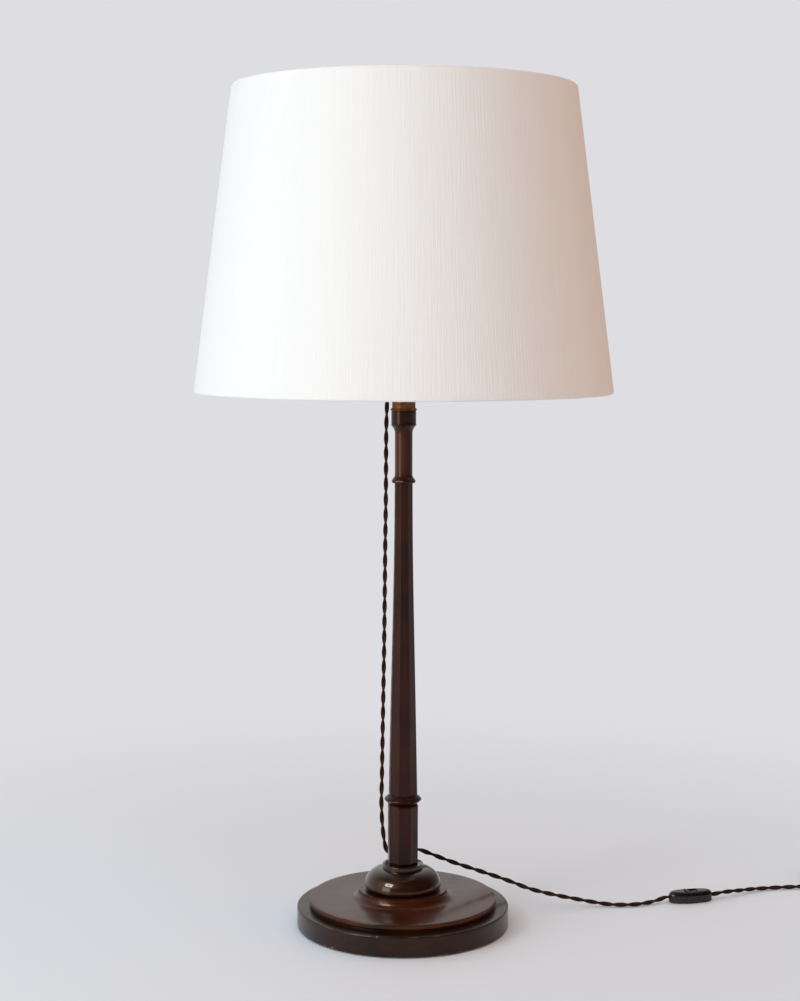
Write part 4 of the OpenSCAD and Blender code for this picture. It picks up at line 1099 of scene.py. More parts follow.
@dataclass
class Flex:
    """The twisted silk flex: two braided cores about each other, from lampholder to plug."""

    strand: float = 1.3
    pitch: float = 34.4
    sides: int = 12
    step: float = 2.0
    phase: float = 1.6
    coil_centre: tuple[float, float] = (524.0, 172.0)
    coil_low: float = 2.8
    coil_r: float = 22.0
    coil_step: float = 5.76
    coil_turns: float = 2.5
    coil_part: float = 5.0  # degrees
    to_switch: tuple[tuple[float, float, float], ...] = (
        (-9.1, 15.8, 599), (-13, 22.5, 599), (-16.7, 28.9, 596), (-18.2, 31.5, 588.6),
        (-18.7, 31.6, 578), (-19.4, 31.3, 550), (-19.6, 31, 510), (-19.8, 30.6, 470),
        (-20.3, 30, 430), (-20.9, 29.2, 362), (-21.5, 28.4, 306), (-22.4, 27.4, 249),
        (-23.1, 26.4, 203), (-23.8, 25.5, 158), (-24.3, 24.8, 135), (-23.5, 24, 112),
        (-22.2, 23.4, 98), (-20.6, 22.9, 86), (-17.6, 22.4, 76.8), (-11.5, 22.2, 73.3),
        (-4, 22.4, 72.9), (6, 25.6, 74.6), (17, 30, 76.4), (31, 33, 71), (56, 37, 60.2),
        (90, 41.4, 47.6), (119, 45, 36.6), (146, 49, 25.2), (172, 54.4, 17), (204, 60.2, 9),
        (228, 61.8, 4.4), (242, 61.2, 3), (257, 60.6, 2.8), (274, 63.8, 2.8),
        (292, 71.4, 3.6), (305.4, 77.5, 6.3), (310, 78.5, 6.5), (314.3, 79.4, 6.5),
    )
    to_coil: tuple[tuple[float, float, float], ...] = (
        (357.7, 88.6, 6.5), (362, 89.5, 6.5), (366.6, 90.6, 6.8), (376, 95, 7.2),
        (387, 101, 6.6), (399, 108.4, 5.3), (412, 116.4, 4.2), (427, 123.4, 3.1),
        (443, 127.6, 2.8), (472, 131.9, 2.8), (496, 134.8, 2.8), (510, 135.6, 2.8),
        (516, 135.6, 2.8),
    )
    to_plug: tuple[tuple[float, float, float], ...] = (
        (532, 135.6, 8.56), (538, 135.6, 8.56), (552, 136.6, 9.5), (567, 139.3, 10.4),
        (576, 140.6, 10.5), (587.1, 142.2, 10.5),
    )

    def coil_line(self) -> np.ndarray:
        """Middle line of the coil.

        The radius is coil_r + coil_step |a| / 360 at angle a, from -sweep to sweep, and the
        height climbs one layer in the half turn about a = 0.

        Returns:
            Points of the coil.
        """
        sweep = 360 * self.coil_turns
        a = np.linspace(-sweep, sweep, round(2 * sweep / self.coil_part) + 1)
        r = self.coil_r + self.coil_step * np.abs(a) / 360
        b = np.radians(a + sweep - 90)
        climb = np.clip((a + 90) / 180, 0, 1)
        x, y = self.coil_centre
        z = self.coil_low + self.coil_step * climb
        return np.column_stack([x + r * np.cos(b), y + r * np.sin(b), z])

    def twisted(self, name: str, path: np.ndarray) -> bpy.types.Object:
        """Winds the two cores about a path.

        A core's middle is path + strand (cos p u + sin p v), where p grows by a full turn in
        each pitch and the two cores are half a turn apart.

        Args:
            name: Name of the piece.
            path: Middle line of the flex.

        Returns:
            Both cores as one piece.
        """
        u, v = carried_frames(path)
        length = along(path)
        across = np.linspace(0, 1, self.sides + 1)
        cores = []
        for k in range(2):
            turn = (2 * math.pi * length / self.pitch + math.pi * k + self.phase)[:, None]
            middle = path + self.strand * (np.cos(turn) * u + np.sin(turn) * v)
            rings = tube_rings(middle, self.strand, self.sides)
            uv = (across, along(middle) * MM)
            cores.append(skin_object(f"{name}_{k}", rings, Shut.POLES, uv, crease=60))
        return joined(name, cores)

    def build(self, shop: Workshop) -> None:
        """Makes and places both stretches of the flex.

        Args:
            shop: Workshop that places them.
        """
        first = smooth_route(np.array(self.to_switch), self.step)
        piece = shop.place(
            self.twisted("flex_to_switch", first), "braided_flex", Body.STAND, ["flex_main"]
        )
        rest = np.vstack([
            smooth_route(np.array(self.to_coil), self.step)[:-1],
            self.coil_line(),
            smooth_route(np.array(self.to_plug), self.step)[1:],
        ])
        second = refined(rest, self.step)
        piece = shop.place(
            self.twisted("flex_to_plug", second), "braided_flex", Body.STAND,
            ["flex_lead", "flex_coil", "flex_tail"],
        )


@dataclass
class CoilTie:
    """Cotton tape wound once round the coil's turns at two places."""

    centre: tuple[float, float] = (524.0, 172.0)
    inner: float = 18.9
    outer: float = 39.4
    low: float = 0.17
    high: float = 11.3
    tape: float = 0.12
    width: float = 5.0
    roundness: float = 0.45
    sides: int = 64
    places: tuple[float, ...] = (55.0, 200.0)

    def band(self, name: str, turn: float) -> bpy.types.Object:
        """Makes one band: an oblong with round corners, carried across the tape's width.

        The oblong is (sign(c) |c|^p, sign(s) |s|^p) for the cosine c and sine s of an angle.

        Args:
            name: Name of the band.
            turn: Its azimuth about the coil's middle, in degrees.

        Returns:
            The band.
        """
        half = (self.outer - self.inner) / 2
        rise = (self.high - self.low) / 2
        angle = full_turn(self.sides)
        c, s = np.cos(angle), np.sin(angle)
        outline = np.column_stack([np.sign(w) * np.abs(w) ** self.roundness for w in (c, s)])
        middle = np.array([(self.outer + self.inner) / 2, self.low + rise])
        radius = np.radians(turn)
        out = np.array([math.cos(radius), math.sin(radius), 0])
        side = np.array([-math.sin(radius), math.cos(radius), 0])
        base = np.array([*self.centre, 0.0])
        loops = []
        for grow, across in ((0, -1), (0, 1), (self.tape, 1), (self.tape, -1)):
            flat = outline * [half + grow, rise + grow] + middle
            loops.append(
                base
                + flat[:, :1] * out
                + np.column_stack([0 * c, 0 * c, flat[:, 1]])
                + across * self.width / 2 * side
            )
        return skin_object(name, np.array(loops)[::-1], Shut.LOOP)

    def build(self, shop: Workshop) -> None:
        """Makes the bands."""
        bands = [self.band(f"tie_{i}", turn) for i, turn in enumerate(self.places)]
        shop.place(joined("coil_tie", bands), "tie_tape", Body.STAND)


@dataclass
class Woodwork:
    """The turned base, the octagonal foot and shaft, and the turned ring and capital."""

    segments: int = 320
    fit: float = 0.05
    end_gap: float = 0.3
    ease: float = 0.8
    spot_depth: float = 1.6
    rounding: float = 0.7
    corner_side: float = 0.4
    arris_turn: float = -15.5
    screw_bore: float = 3.4
    recess_r: float = 13.0
    recess_h: float = 8.8
    plinth_edge: float = 1.6
    platform_edge_h: float = 8.3
    platform_cove: float = 3.0
    platform_step: float = 0.6
    platform_lip: float = 0.5
    platform_nose: float = 1.0
    ledge_r: float = 49.0
    spigot_r: float = 14.05
    spigot_l: float = 10.3
    collar_r: float = 22.7
    collar_h: float = 5.0
    swell_low: float = 4.0
    swell_from: float = 40.0  # degrees
    foot_af: float = 32.1
    foot_chamfer: tuple[float, float] = (0.5, 0.3)
    foot_tenon_r: float = 9.0
    foot_tenon_l: float = 14.0
    foot_bore: float = 3.05
    foot_bore_l: float = 34.3
    shaft_tenon_r: float = 8.0
    shaft_tenon_l: float = 16.0
    shaft_low_af: float = 30.5
    shaft_top_af: float = 19.0
    shaft_draw: float = 0.13
    top_tenon_r: float = 5.0
    top_tenon_l: float = 15.0
    ring_nose: float = 1.3
    bead_r: float = 13.2
    bead_h: float = 9.4
    bead_nose: float = 2.1
    bead_rise: float = 0.2
    bead_shoulder: float = 0.9
    neck_r: float = 9.7
    neck_h: float = 46.0
    cup_cove_h: float = 8.5
    cup_r: float = 13.65
    cup_shoulder: float = 0.5
    cup_lip: float = 0.25
    cup_lip_h: float = 1.2
    nipple_bore: float = 5.05
    nipple_bore_l: float = 13.3
    # spots of painted highlight, a pale line on the bead's nose
    bead_glint_spots: range = range(232, 266, 4)  # azimuths in degrees
    # painted highlight on the neck: its side, its share all round, and its reach
    highlight_azimuth: float = 188.0  # azimuth in degrees
    highlight_everywhere: float = 0.38
    highlight_reach: float = 0.54

    def wear_and_glint(
        self, rings: np.ndarray, edges: Sequence[tuple[float, float]], spread: float,
        spots: Sequence[tuple[float, float, float, float]] = (),
    ) -> dict[str, np.ndarray]:
        """Rates how far the polish is worn off, and where spots paint a highlight.

        Near an edge it is exp(-(distance / spread)^2), uneven round the piece by a product of
        sines; a spot adds spot_depth exp(-(distance / size)^2) about a place, as wear or as a
        painted highlight.

        Args:
            rings: The piece's points.
            edges: Places (r, z) of the edges that get worn.
            spread: How far from an edge the rubbing reaches.
            spots: Azimuth in degrees, radius, height and size of each spot, worn or painted
                highlight.

        Returns:
            The values under the attribute's name.
        """
        r = np.hypot(rings[..., 0], rings[..., 1])
        z = rings[..., 2]
        angle = np.arctan2(rings[..., 1], rings[..., 0])
        waves = 0.3 * np.sin(5 * angle + 0.7) * np.sin(11 * angle + 2.1)
        uneven = 0.62 + waves + 0.12 * np.sin(29 * angle)
        value = np.zeros(r.shape)
        for edge_r, edge_z in edges:
            gap = np.hypot(r - edge_r, z - edge_z)
            value = np.maximum(value, uneven * np.exp(-((gap / spread) ** 2)))
        for turn, spot_r, spot_z, size in spots:
            a = math.radians(turn)
            place = np.array([spot_r * math.cos(a), spot_r * math.sin(a), spot_z])
            gap = np.linalg.norm(rings - place, axis=-1)
            value = np.maximum(value, self.spot_depth * np.exp(-((gap / size) ** 2)))
        return {"wear_and_glint": value}

    def lathe(
        self, name: str, outline: np.ndarray, step: float, sides: int,
        edges: Sequence[tuple[float, float]], spread: float,
        spots: Sequence[tuple[float, float, float, float]] = (), crease: float = 35.0,
    ) -> bpy.types.Object:
        """Turns a closed outline about the axis and marks where its polish is worn.

        Args:
            name: Name of the piece.
            outline: Points (r, z).
            step: Longest part of the outline.
            sides: Points round the piece.
            edges: Edges that get worn.
            spread: How far from an edge the rubbing reaches.
            spots: Worn spots.
            crease: Angle in degrees past which an edge is drawn sharp.

        Returns:
            The turned piece.
        """
        rings = turned(refined(outline, step, closed=True), full_turn(sides))
        marks = self.wear_and_glint(rings, edges, spread, spots)
        return skin_object(name, rings, Shut.LOOP, marks=marks, crease=crease)

    def plinth(self) -> bpy.types.Object:
        """Turns the lower disc with its eased edges and the recess under it.

        Returns:
            The disc.
        """
        r, low, top = round_extent("base_plinth")
        edge, ease = self.plinth_edge, self.ease
        outline = np.vstack([
            [[self.recess_r, low], [r - ease, low]],
            arc(r - ease, low + ease, ease, -90, 0, 4),
            arc(r - edge, top - edge, edge, 0, 90, 8),
            [[self.screw_bore, top], [self.screw_bore, low + self.recess_h],
             [self.recess_r, low + self.recess_h]],
        ])
        edges = [(r, low + ease / 2), (r - ease / 2, top - ease / 2)]
        spots = [(229.9, r, low + 0.8, 2.6), (256.4, r, top - 0.6, 1.6), (301.0, r, low + 1, 1.8)]
        return self.lathe("plinth_disc", outline, 6, self.segments, edges, 1.1, spots)

    def platform(self) -> bpy.types.Object:
        """Turns the upper disc: undercut hollow, edge, and the flare up to the ledge.

        Returns:
            The disc.
        """
        r, low, ledge_z = round_extent("base_platform")
        cove, nose = self.platform_cove, self.platform_nose
        foot = r - cove - self.platform_step
        top = low + self.platform_edge_h
        flare = ledge_z - top - nose
        outline = np.vstack([
            [[self.screw_bore, low], [foot, low]],
            arc(foot + cove, low, cove, 180, 90, 8),
            [[r, low + cove + self.platform_lip]],
            arc(r - nose, top - nose, nose, 0, 90, 6),
            arc(self.ledge_r + flare, ledge_z - nose, flare, 270, 180, 16),
            [[self.ledge_r, ledge_z - 0.3], [self.ledge_r - 0.4, ledge_z],
             [self.spigot_r, ledge_z], [self.spigot_r, ledge_z - self.spigot_l],
             [self.screw_bore, ledge_z - self.spigot_l]],
        ])
        edges = [(r - 0.2, top - 0.2), (self.ledge_r, ledge_z)]
        return self.lathe("platform_disc", outline, 6, self.segments, edges, 0.8)

    def bun(self) -> bpy.types.Object:
        """Turns the bun: r = collar + swell cos a, rising by sin a above and below its widest.

        Returns:
            The bun.
        """
        r, spigot_z, top = round_extent("base_bun")
        low = spigot_z + self.spigot_l - self.end_gap
        wide, swell, collar = low + self.swell_low, r - self.collar_r, top - self.collar_h
        under = np.radians(np.linspace(-self.swell_from, 0, 9))
        over = np.radians(np.linspace(4, 90, 30))
        drop = (wide - low) * np.sin(under) / math.sin(math.radians(self.swell_from))
        spigot = self.spigot_r - self.fit
        tenon = self.foot_tenon_r + self.fit
        sink = top - self.foot_tenon_l - self.end_gap
        outline = np.vstack([
            [[self.screw_bore, spigot_z], [spigot, spigot_z], [spigot, low]],
            np.column_stack([self.collar_r + swell * np.cos(under), wide + drop]),
            np.column_stack([
                self.collar_r + swell * np.cos(over), wide + (collar - wide) * np.sin(over)
            ]),
            arc(self.collar_r - self.ease, top - self.ease, self.ease, 0, 90, 4),
            [[tenon, top], [tenon, sink], [self.screw_bore, sink]],
        ])
        return self.lathe("bun", outline, 4, self.segments // 2, [(self.collar_r, top)], 0.6)

    def octagon(self, width: float) -> np.ndarray:
        """Points (x, y) of an octagon with eased corners and two more points on each flat.

        Args:
            width: Distance across the flats.

        Returns:
            Seven points for each corner, anticlockwise.
        """
        half, ease = math.radians(22.5), self.rounding
        corner = np.radians(270 + self.arris_turn + 45 * np.arange(8))[:, None]
        reach = (width / 2 - ease) / math.cos(half)
        sweep = corner + np.linspace(-half, half, 5)
        x = reach * np.cos(corner) + ease * np.cos(sweep)
        y = reach * np.sin(corner) + ease * np.sin(sweep)
        side_x, side_y = self.corner_side * np.sin(sweep), self.corner_side * np.cos(sweep)
        x = np.hstack([x[:, :1] + side_x[:, :1], x, x[:, -1:] - side_x[:, -1:]])
        y = np.hstack([y[:, :1] - side_y[:, :1], y, y[:, -1:] + side_y[:, -1:]])
        return np.column_stack([x.ravel(), y.ravel()])

    def lofted(self, levels: Sequence[tuple[float, float, bool]]) -> np.ndarray:
        """Rings through octagons and circles at given heights.

        Args:
            levels: Size, height and whether the ring is an octagon, whose size is its width
                across flats, or a circle, whose size is its radius.

        Returns:
            Rings of points.
        """
        rings = []
        for size, z, eight in levels:
            flat = self.octagon(size if eight else 10.0)
            if not eight:
                flat = size * flat / np.linalg.norm(flat, axis=1)[:, None]
            rings.append(np.column_stack([flat, np.full(len(flat), z)]))
        return np.array(rings)

    def foot(self) -> bpy.types.Object:
        """Lofts the octagonal foot with its tenon below and its two blind holes.

        Returns:
            The foot.
        """
        _, tenon_z, top = round_extent("column_foot")
        low = tenon_z + self.foot_tenon_l
        socket_r = self.shaft_tenon_r + self.fit
        socket_z = top - self.shaft_tenon_l - self.end_gap
        chamfer, up = self.foot_chamfer
        rings = self.lofted([
            (self.foot_bore, tenon_z + self.foot_bore_l, False), (self.foot_bore, tenon_z, False),
            (self.foot_tenon_r, tenon_z, False), (self.foot_tenon_r, low, False),
            (self.foot_af - chamfer, low, True), (self.foot_af, low + up, True),
            *[(self.foot_af, z, True) for z in np.linspace(low + 3, top - 3, 12)],
            (self.foot_af, top - up, True), (self.foot_af - chamfer, top, True),
            (socket_r, top, False), (socket_r, socket_z, False),
        ])
        return skin_object("octagon_foot", rings, Shut.POLES, crease=40)

    def shaft_width(self, t: float) -> float:
        """Width across flats of the shaft at a share t of its height."""
        t = t + self.shaft_draw * math.sin(math.pi * t * t)
        return self.shaft_low_af + (self.shaft_top_af - self.shaft_low_af) * t

    def shaft(self) -> bpy.types.Object:
        """Lofts the tapered octagonal shaft with a round tenon at each end.

        Returns:
            The shaft.
        """
        _, tenon_z, tenon_top = round_extent("column_shaft")
        low = round_extent("lower_ring")[2]
        top = round_extent("capital")[1]
        body = [
            (self.shaft_width(t), low + (top - low) * t, True) for t in np.linspace(0, 1, 49)
        ]
        rings = self.lofted([
            (self.shaft_tenon_r, tenon_z, False), (self.shaft_tenon_r, low, False),
            *body,
            (self.top_tenon_r, top, False), (self.top_tenon_r, tenon_top, False),
        ])
        return skin_object("octagon_shaft", rings, Shut.POLES, crease=40)

    def ring(self) -> bpy.types.Object:
        """Turns the lower ring: two slopes at half a right angle that meet in a round nose.

        Returns:
            The ring.
        """
        r, low, top = round_extent("lower_ring")
        reach = (top - low) / 2
        bore = self.shaft_tenon_r + self.fit
        outline = np.vstack([
            [[bore, low], [r - reach, low]],
            arc(r - self.ring_nose, low + reach, self.ring_nose, -45, 45, 10),
            [[r - reach, top], [bore, top]],
        ])
        sides, edges = self.segments // 2, [(r, low + reach)]
        return self.lathe("lower_ring_turned", outline, 2, sides, edges, 0.8, crease=30)

    def capital(self) -> bpy.types.Object:
        """Turns the bead, neck and cup: the neck swells out to both by a square law.

        The neck has a painted highlight, browner wood most on its left side, by
        (all + (1 - all) cos(azimuth - side)) exp(-h^6), where h is the height from the neck's
        middle as a share of reach times its length. Spots on the bead's nose paint a pale
        highlight.

        Returns:
            The turned piece.
        """
        _, low, top = round_extent("capital")
        nose, neck = self.bead_nose, self.neck_r
        nose_z = low + nose + self.bead_rise
        bead_top = nose_z + nose + self.bead_rise
        neck_low = low + self.bead_h
        neck_top = neck_low + self.neck_h
        cup_low = neck_top + self.cup_cove_h
        t = np.linspace(0, 1, 12)
        bore = self.top_tenon_r + self.fit
        blind = low + self.top_tenon_l + self.end_gap
        nipple_z = top - self.nipple_bore_l
        outline = np.vstack([
            [[bore, blind], [bore, low], [self.bead_r - nose, low]],
            arc(self.bead_r - nose, nose_z, nose, -70, 60, 14),
            np.column_stack([
                neck + (self.bead_r - self.bead_shoulder - neck) * (1 - t) ** 2,
                bead_top + (neck_low - bead_top) * t,
            ]),
            np.column_stack([
                neck + (self.cup_r - self.cup_shoulder - neck) * t**2,
                neck_top + (cup_low - self.ease - neck_top) * t,
            ]),
            [[self.cup_r + self.cup_lip, cup_low], [self.cup_r, cup_low + self.cup_lip_h]],
            arc(self.cup_r - self.ease, top - self.ease, self.ease, 0, 90, 5),
            [[self.nipple_bore, top], [self.nipple_bore, nipple_z]],
        ])
        rings = turned(refined(outline, 3), full_turn(self.segments // 2))
        # spots of painted highlight on the bead's nose
        spots = [(turn, self.bead_r, low + nose + 0.8, 1.0) for turn in self.bead_glint_spots]
        marks = self.wear_and_glint(rings, [(self.bead_r, nose_z), (self.cup_r, top)], 0.7, spots)
        # painted highlight: browner wood on the neck, most on its left side
        height = (rings[..., 2] - (neck_low + neck_top) / 2) / (self.highlight_reach * self.neck_h)
        azimuth = np.arctan2(rings[..., 1], rings[..., 0])
        lit_side = np.cos(azimuth - math.radians(self.highlight_azimuth))
        share = np.clip(self.highlight_everywhere + (1 - self.highlight_everywhere) * lit_side, 0, 1)
        marks["painted_highlight"] = share * np.exp(-(height**6))
        return skin_object("capital_turned", rings, Shut.POLES, marks=marks, crease=30)

    def build(self, shop: Workshop) -> None:
        """Makes and places every piece of wood.

        Args:
            shop: Workshop that places them.
        """
        for piece, finish, node in (
            (self.plinth(), "mahogany_plinth", "base_plinth"),
            (self.platform(), "mahogany_base", "base_platform"),
            (self.bun(), "mahogany_bun", "base_bun"),
            (self.foot(), "mahogany_column", "column_foot"),
            (self.ring(), "mahogany_column", "lower_ring"),
            (self.shaft(), "mahogany_column", "column_shaft"),
            (self.capital(), "mahogany_column", "capital"),
        ):
            shop.place(piece, finish, Body.STAND, [node])


@dataclass
class Shade:
    """The drum shade: silk rolled over two wires, and its card lining."""

    low_r: float = 228.5
    top_r: float = 186.0
    wire: float = 1.6
    cloth: float = 0.8
    gap: float = 0.15
    card: float = 0.5
    card_gap: float = 0.2
    hem: float = 9.0
    hem_cloth: float = 0.6
    turn_in: float = 14.0
    segments: int = 288
    lap_width: float = 9.0
    lap_step: float = 0.4
    lap_edge: float = 0.995
    tuck_low: tuple[float, float] = (0.9, 4.5)
    tuck_top: tuple[float, float] = (0.55, 4.6)
    wrap_low: tuple[float, float] = (-240.0, -8.0)  # degrees
    wrap_top: tuple[float, float] = (8.0, 245.0)  # degrees
    low: float = field(init=False)
    top: float = field(init=False)
    roll: float = field(init=False)

    def __post_init__(self) -> None:
        """Takes the shade's heights from the frame, and the size of the roll from the wire."""
        self.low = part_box("bottom_hem")[0].z / MM
        self.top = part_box("top_hem")[1].z / MM
        self.roll = self.wire + self.gap + self.cloth

    def wall(self, z: np.ndarray | float) -> np.ndarray | float:
        """Radius of the shade's outside at a height."""
        return self.low_r + (self.top_r - self.low_r) * (z - self.low) / (self.top - self.low)

    def angles(self) -> np.ndarray:
        """Angles round the shade, closer together across the lap at the back.

        Returns:
            Sorted angles in radians.
        """
        half = self.lap_width / 2 / self.low_r
        extra = math.pi / 2 + half * np.array([-1, -0.5, 0.5, self.lap_edge, 1])
        return np.unique(np.concatenate([full_turn(self.segments), extra]))

    def lap(self, angles: np.ndarray) -> np.ndarray:
        """Height of the overlap: it rises gently across the lap and drops at its edge.

        Args:
            angles: Angles round the shade.

        Returns:
            The height at each angle.
        """
        half = self.lap_width / 2 / self.low_r
        share = np.clip((angles - math.pi / 2 + half) / (2 * half), 0, 1)
        edge = (1 + self.lap_edge) / 2
        return self.lap_step * np.where(share < edge, np.minimum(share * 2, 1), 0)

    def cover(self) -> bpy.types.Object:
        """Follows the silk from one tucked edge over both wires to the other.

        The middle line is an arc about each wire, the straight wall and the tucks; the cloth is
        that line moved half a thickness to each side.

        Returns:
            The cover with both its hems.
        """
        radius = self.roll - self.cloth / 2
        low_z, top_z = self.low + self.roll, self.top - self.roll
        low_c, top_c = self.wall(low_z) - self.roll, self.wall(top_z) - self.roll
        inset = self.cloth + 2 * self.gap + self.card + self.hem_cloth / 2
        wall_z = np.linspace(low_z + 2, top_z - 2, 26)
        line = np.vstack([
            [[self.wall(low_z + self.hem) - inset, low_z + self.hem]],
            [[low_c - self.tuck_low[0], low_z + self.tuck_low[1]]],
            arc(low_c, low_z, radius, *self.wrap_low, 22),
            np.column_stack([self.wall(wall_z) - self.cloth / 2, wall_z]),
            arc(top_c, top_z, radius, *self.wrap_top, 22),
            [[top_c + self.tuck_top[0], top_z - self.tuck_top[1]]],
            [[self.wall(top_z - self.hem) - inset, top_z - self.hem]],
        ])
        heading = np.gradient(line, axis=0)
        heading /= np.linalg.norm(heading, axis=1)[:, None]
        right = np.column_stack([heading[:, 1], -heading[:, 0]])
        half = np.full(len(line), self.cloth / 2)
        half[[0, 1, -2, -1]] = self.hem_cloth / 2
        outside, inside = line + right * half[:, None], (line - right * half[:, None])[::-1]
        angles = self.angles()
        rings = turned(np.vstack([outside, inside]), angles)
        step = self.lap(angles)
        rings[: len(line)] += (
            turned(np.column_stack([right[:, 0], right[:, 1]]), angles) * step[None, :, None]
        )
        length = along(line) * MM
        mean = (self.low_r + self.top_r) / 2 * MM
        across = np.append(angles, angles[0] + 2 * math.pi) * mean
        return skin_object(
            "silk_cover",
            rings,
            Shut.LOOP,
            (across, np.concatenate([length, length[::-1], length[:1]])),
            crease=60,
        )

    def lining(self) -> bpy.types.Object:
        """Rolls the card lining inside the silk, as a thin cone with thickness.

        Returns:
            The lining.
        """
        outer = self.cloth + self.gap
        inner = outer + self.card
        low = self.low + self.roll + self.wire + self.card_gap
        top = self.top - self.roll - self.wire - self.card_gap
        z = np.linspace(low, top, 24)
        outline = np.vstack([
            np.column_stack([self.wall(z) - outer, z]),
            np.column_stack([self.wall(z) - inner, z])[::-1],
        ])
        return skin_object("card_lining", turned(outline, full_turn(self.segments)), Shut.LOOP)

    def build(self, shop: Workshop) -> None:
        """Makes the silk cover and the card lining and places them on the shade.

        Args:
            shop: Workshop that places them.
        """
        cover = shop.place(
            self.cover(), "slub_silk", Body.SHADE, ["shade_cover", "top_hem", "bottom_hem"]
        )
        shop.place(self.lining(), "lining_card", Body.SHADE, ["shade_lining"])


@dataclass
class CarrierWires:
    """The three bowed brass wires that hold the shade above the bulb."""

    wire: float = 1.6
    bow: float = 47.0
    ring_r: float = 32.0
    count: int = 3
    foot_l: float = 8.0
    top_l: float = 9.0
    bead_swell: float = 1.2
    bead_h: float = 3.2
    sides: int = 16

    def build(self, shop: Workshop) -> None:
        """Makes the wires as round tubes on the curve of their solids, brazed at each end.

        Args:
            shop: Workshop that places them.
        """
        collar_r, _, collar_top = round_extent("carrier_collar")
        ring_z = (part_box("carrier_ring")[0].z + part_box("carrier_ring")[1].z) / 2 / MM
        foot_r, foot_z = collar_r - self.wire - 0.2, collar_top + 0.02
        top_z = ring_z - self.wire * 0.8
        span = top_z - foot_z
        out_low, out_high = self.bow - foot_r, self.bow - self.ring_r
        shape = np.array([
            [foot_r, 0, foot_z], [foot_r, 0, foot_z + self.foot_l],
            [foot_r + 0.45 * out_low, 0, foot_z + 0.14 * span],
            [self.bow, 0, foot_z + 0.4 * span],
            [self.ring_r + 0.95 * out_high, 0, foot_z + 0.65 * span],
            [self.ring_r + 0.5 * out_high, 0, foot_z + 0.86 * span],
            [self.ring_r, 0, top_z - self.top_l], [self.ring_r, 0, top_z],
        ])
        rings = tube_rings(smooth_route(shape, 4), self.wire, self.sides)
        wires, beads = [], []
        for k in range(self.count):
            turn = np.array(Matrix.Rotation(math.pi / 2 + 2 * math.pi * k / self.count, 3, "Z"))
            wires.append(skin_object(f"wire_{k}", rings @ turn.T, Shut.POLES, crease=60))
            for r, z, up in ((foot_r, foot_z, 1), (self.ring_r, ring_z, -1)):
                beads.append(
                    skin_object(f"bead_{k}_{up}", self.bead(r, z, up) @ turn.T, Shut.POLES)
                )
        shop.place(joined("carrier_wires", wires), "old_brass", Body.CARRIER, ["carrier_arms"])
        shop.place(joined("carrier_brazing", beads), "lacquered_brass", Body.CARRIER)

    def bead(self, r: float, z: float, up: int) -> np.ndarray:
        """A small bead of brazing: bead_swell (1 - t)^1.8 about the wire, over its height.

        Args:
            r: Distance of the wire from the axis.
            z: Height of the bead's wide end.
            up: 1 for a bead that points up, -1 for one that points down.

        Returns:
            Rings of the bead.
        """
        t = np.linspace(0, 1, 8)
        swell = self.wire + 0.02 + self.bead_swell * (1 - t) ** 1.8
        angle = full_turn(self.sides)
        height = z + up * self.bead_h * t
        rings = np.stack([
            r + swell[:, None] * np.cos(angle), swell[:, None] * np.sin(angle),
            height[:, None] + 0 * angle,
        ], axis=-1)
        return rings if up > 0 else rings[::-1]


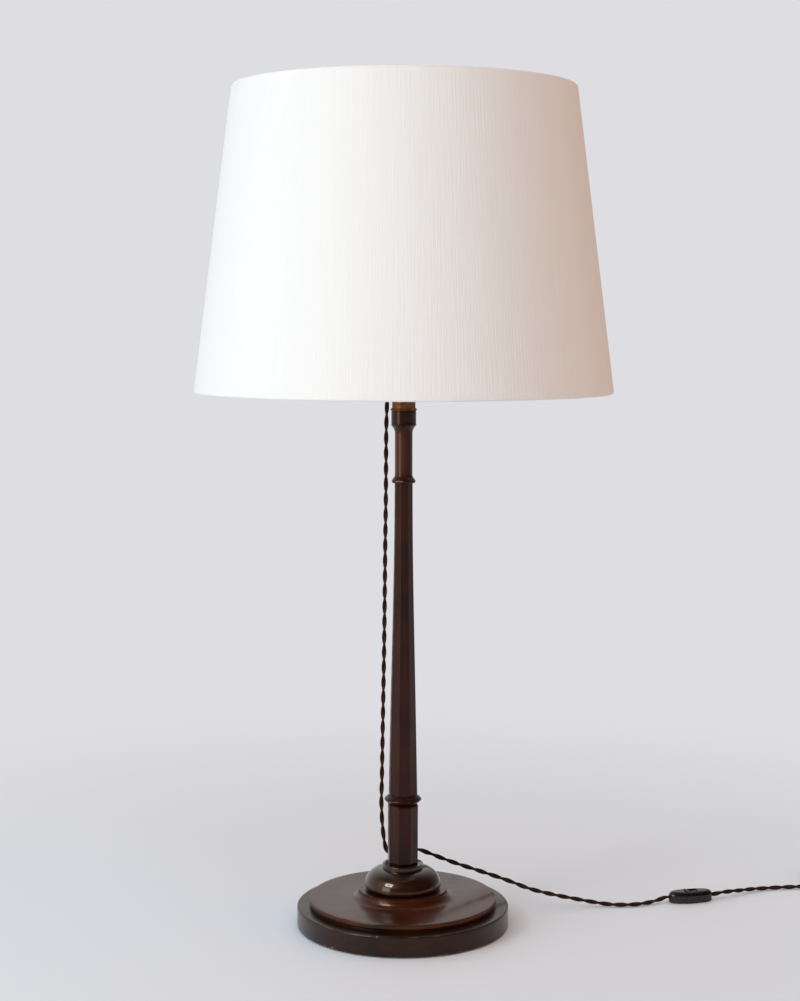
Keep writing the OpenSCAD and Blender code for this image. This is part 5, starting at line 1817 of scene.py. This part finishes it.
@dataclass
class FineWires:
    """The bulb's coiled filament on two supports, and the flex's cores inside the lampholder."""

    half_width: float = 11.0
    rise: float = 20.0
    support: float = 0.3
    coil_r: float = 0.3
    coil_wire: float = 0.11
    coil_pitch: float = 0.45
    core: float = 1.1
    sides: int = 14
    entry_turn: float = 120.0
    entry_r: float = 17.2
    apart: float = 1.3
    terminal: tuple[float, float, float] = (5.5, 1.6, 598.7)
    entry_z: float = 599.0

    def filament(self) -> list[bpy.types.Object]:
        """Bends the two supports and winds the wire between their tops.

        The wire is path + coil_r (cos a u + sin a v), where a grows by a full turn in each
        coil_pitch.

        Returns:
            The supports and the coil.
        """
        w, h = self.half_width, self.rise
        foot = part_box("bulb_stem")[1].z / MM
        right = np.array([
            [1.6, 0, -0.9], [2.4, 0, 0.15 * h], [w - 2, 0, h - 5], [w, 2, h], [w - 4, 8, h - 1]
        ])
        left = right * [-1, 1, 1]
        line = np.vstack([left, [[0, w - 1, h]], right[::-1]]) + [0, 0, foot]
        path = smooth_route(line, 0.5)
        first, last = (
            int(np.argmin(np.linalg.norm(path - line[i], axis=1))) for i in (3, len(line) - 4)
        )
        legs = (path[: first + 3], path[last - 2 :])
        parts = [
            skin_object(f"support_{k}", tube_rings(leg, self.support, 10), Shut.POLES, crease=60)
            for k, leg in enumerate(legs)
        ]
        fine = refined(path[first : last + 1], self.coil_pitch / 12)
        u, v = carried_frames(fine)
        turn = (2 * math.pi * along(fine) / self.coil_pitch)[:, None]
        coil = fine + self.coil_r * (np.cos(turn) * u + np.sin(turn) * v)
        parts.append(
            skin_object("coil", tube_rings(coil, self.coil_wire, 6), Shut.POLES, crease=80)
        )
        return parts

    def tails(self) -> list[bpy.types.Object]:
        """Runs a core from the bush to each terminal, on the curve of its solid.

        Returns:
            The two cores.
        """
        turn = math.radians(self.entry_turn)
        out = np.array([math.cos(turn), math.sin(turn), 0.0])
        side = np.array([-math.sin(turn), math.cos(turn), 0.0])
        cores = []
        for s in (-1, 1):
            start = out * self.entry_r - s * side * self.apart + [0, 0, self.entry_z]
            target = np.array(self.terminal) * [s, 1, 1]
            middle = (start - out * 4 + target + [0, 4.4, 0]) / 2
            points = np.array([start, start - out * 2.4, middle, target + [0, 3, 0], target])
            path = smooth_route(points, 0.5)
            rings = tube_rings(path, self.core, self.sides)
            uv = (np.linspace(0, 1, self.sides + 1), along(path) * MM)
            cores.append(skin_object(f"tail_{s}", rings, Shut.POLES, uv, crease=60))
        return cores

    def build(self, shop: Workshop) -> None:
        """Makes and places the filament and the tails."""
        shop.place(joined("filament", self.filament()), "tungsten", Body.BULB, ["bulb_filament"])
        shop.place(joined("core_tails", self.tails()), "braided_flex", Body.STAND, ["lead_tails"])


def main() -> None:
    """Builds the lamp in order and reports each piece."""
    logging.basicConfig(level=logging.INFO, format="%(name)s: %(message)s")
    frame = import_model()
    bpy.context.scene.view_settings.view_transform = "Standard"
    shop = Workshop(frame)
    shop.mix(FINISHES)
    studio = Studio()
    studio.set_camera()
    Flex().build(shop)
    CoilTie().build(shop)
    Woodwork().build(shop)
    Shade().build(shop)
    CarrierWires().build(shop)
    FineWires().build(shop)
    shop.dress_solids(NODE_FINISHES)
    studio.lay_floor()
    studio.light_room()
    studio.hang_lamps()


if __name__ == "__main__":
    main()
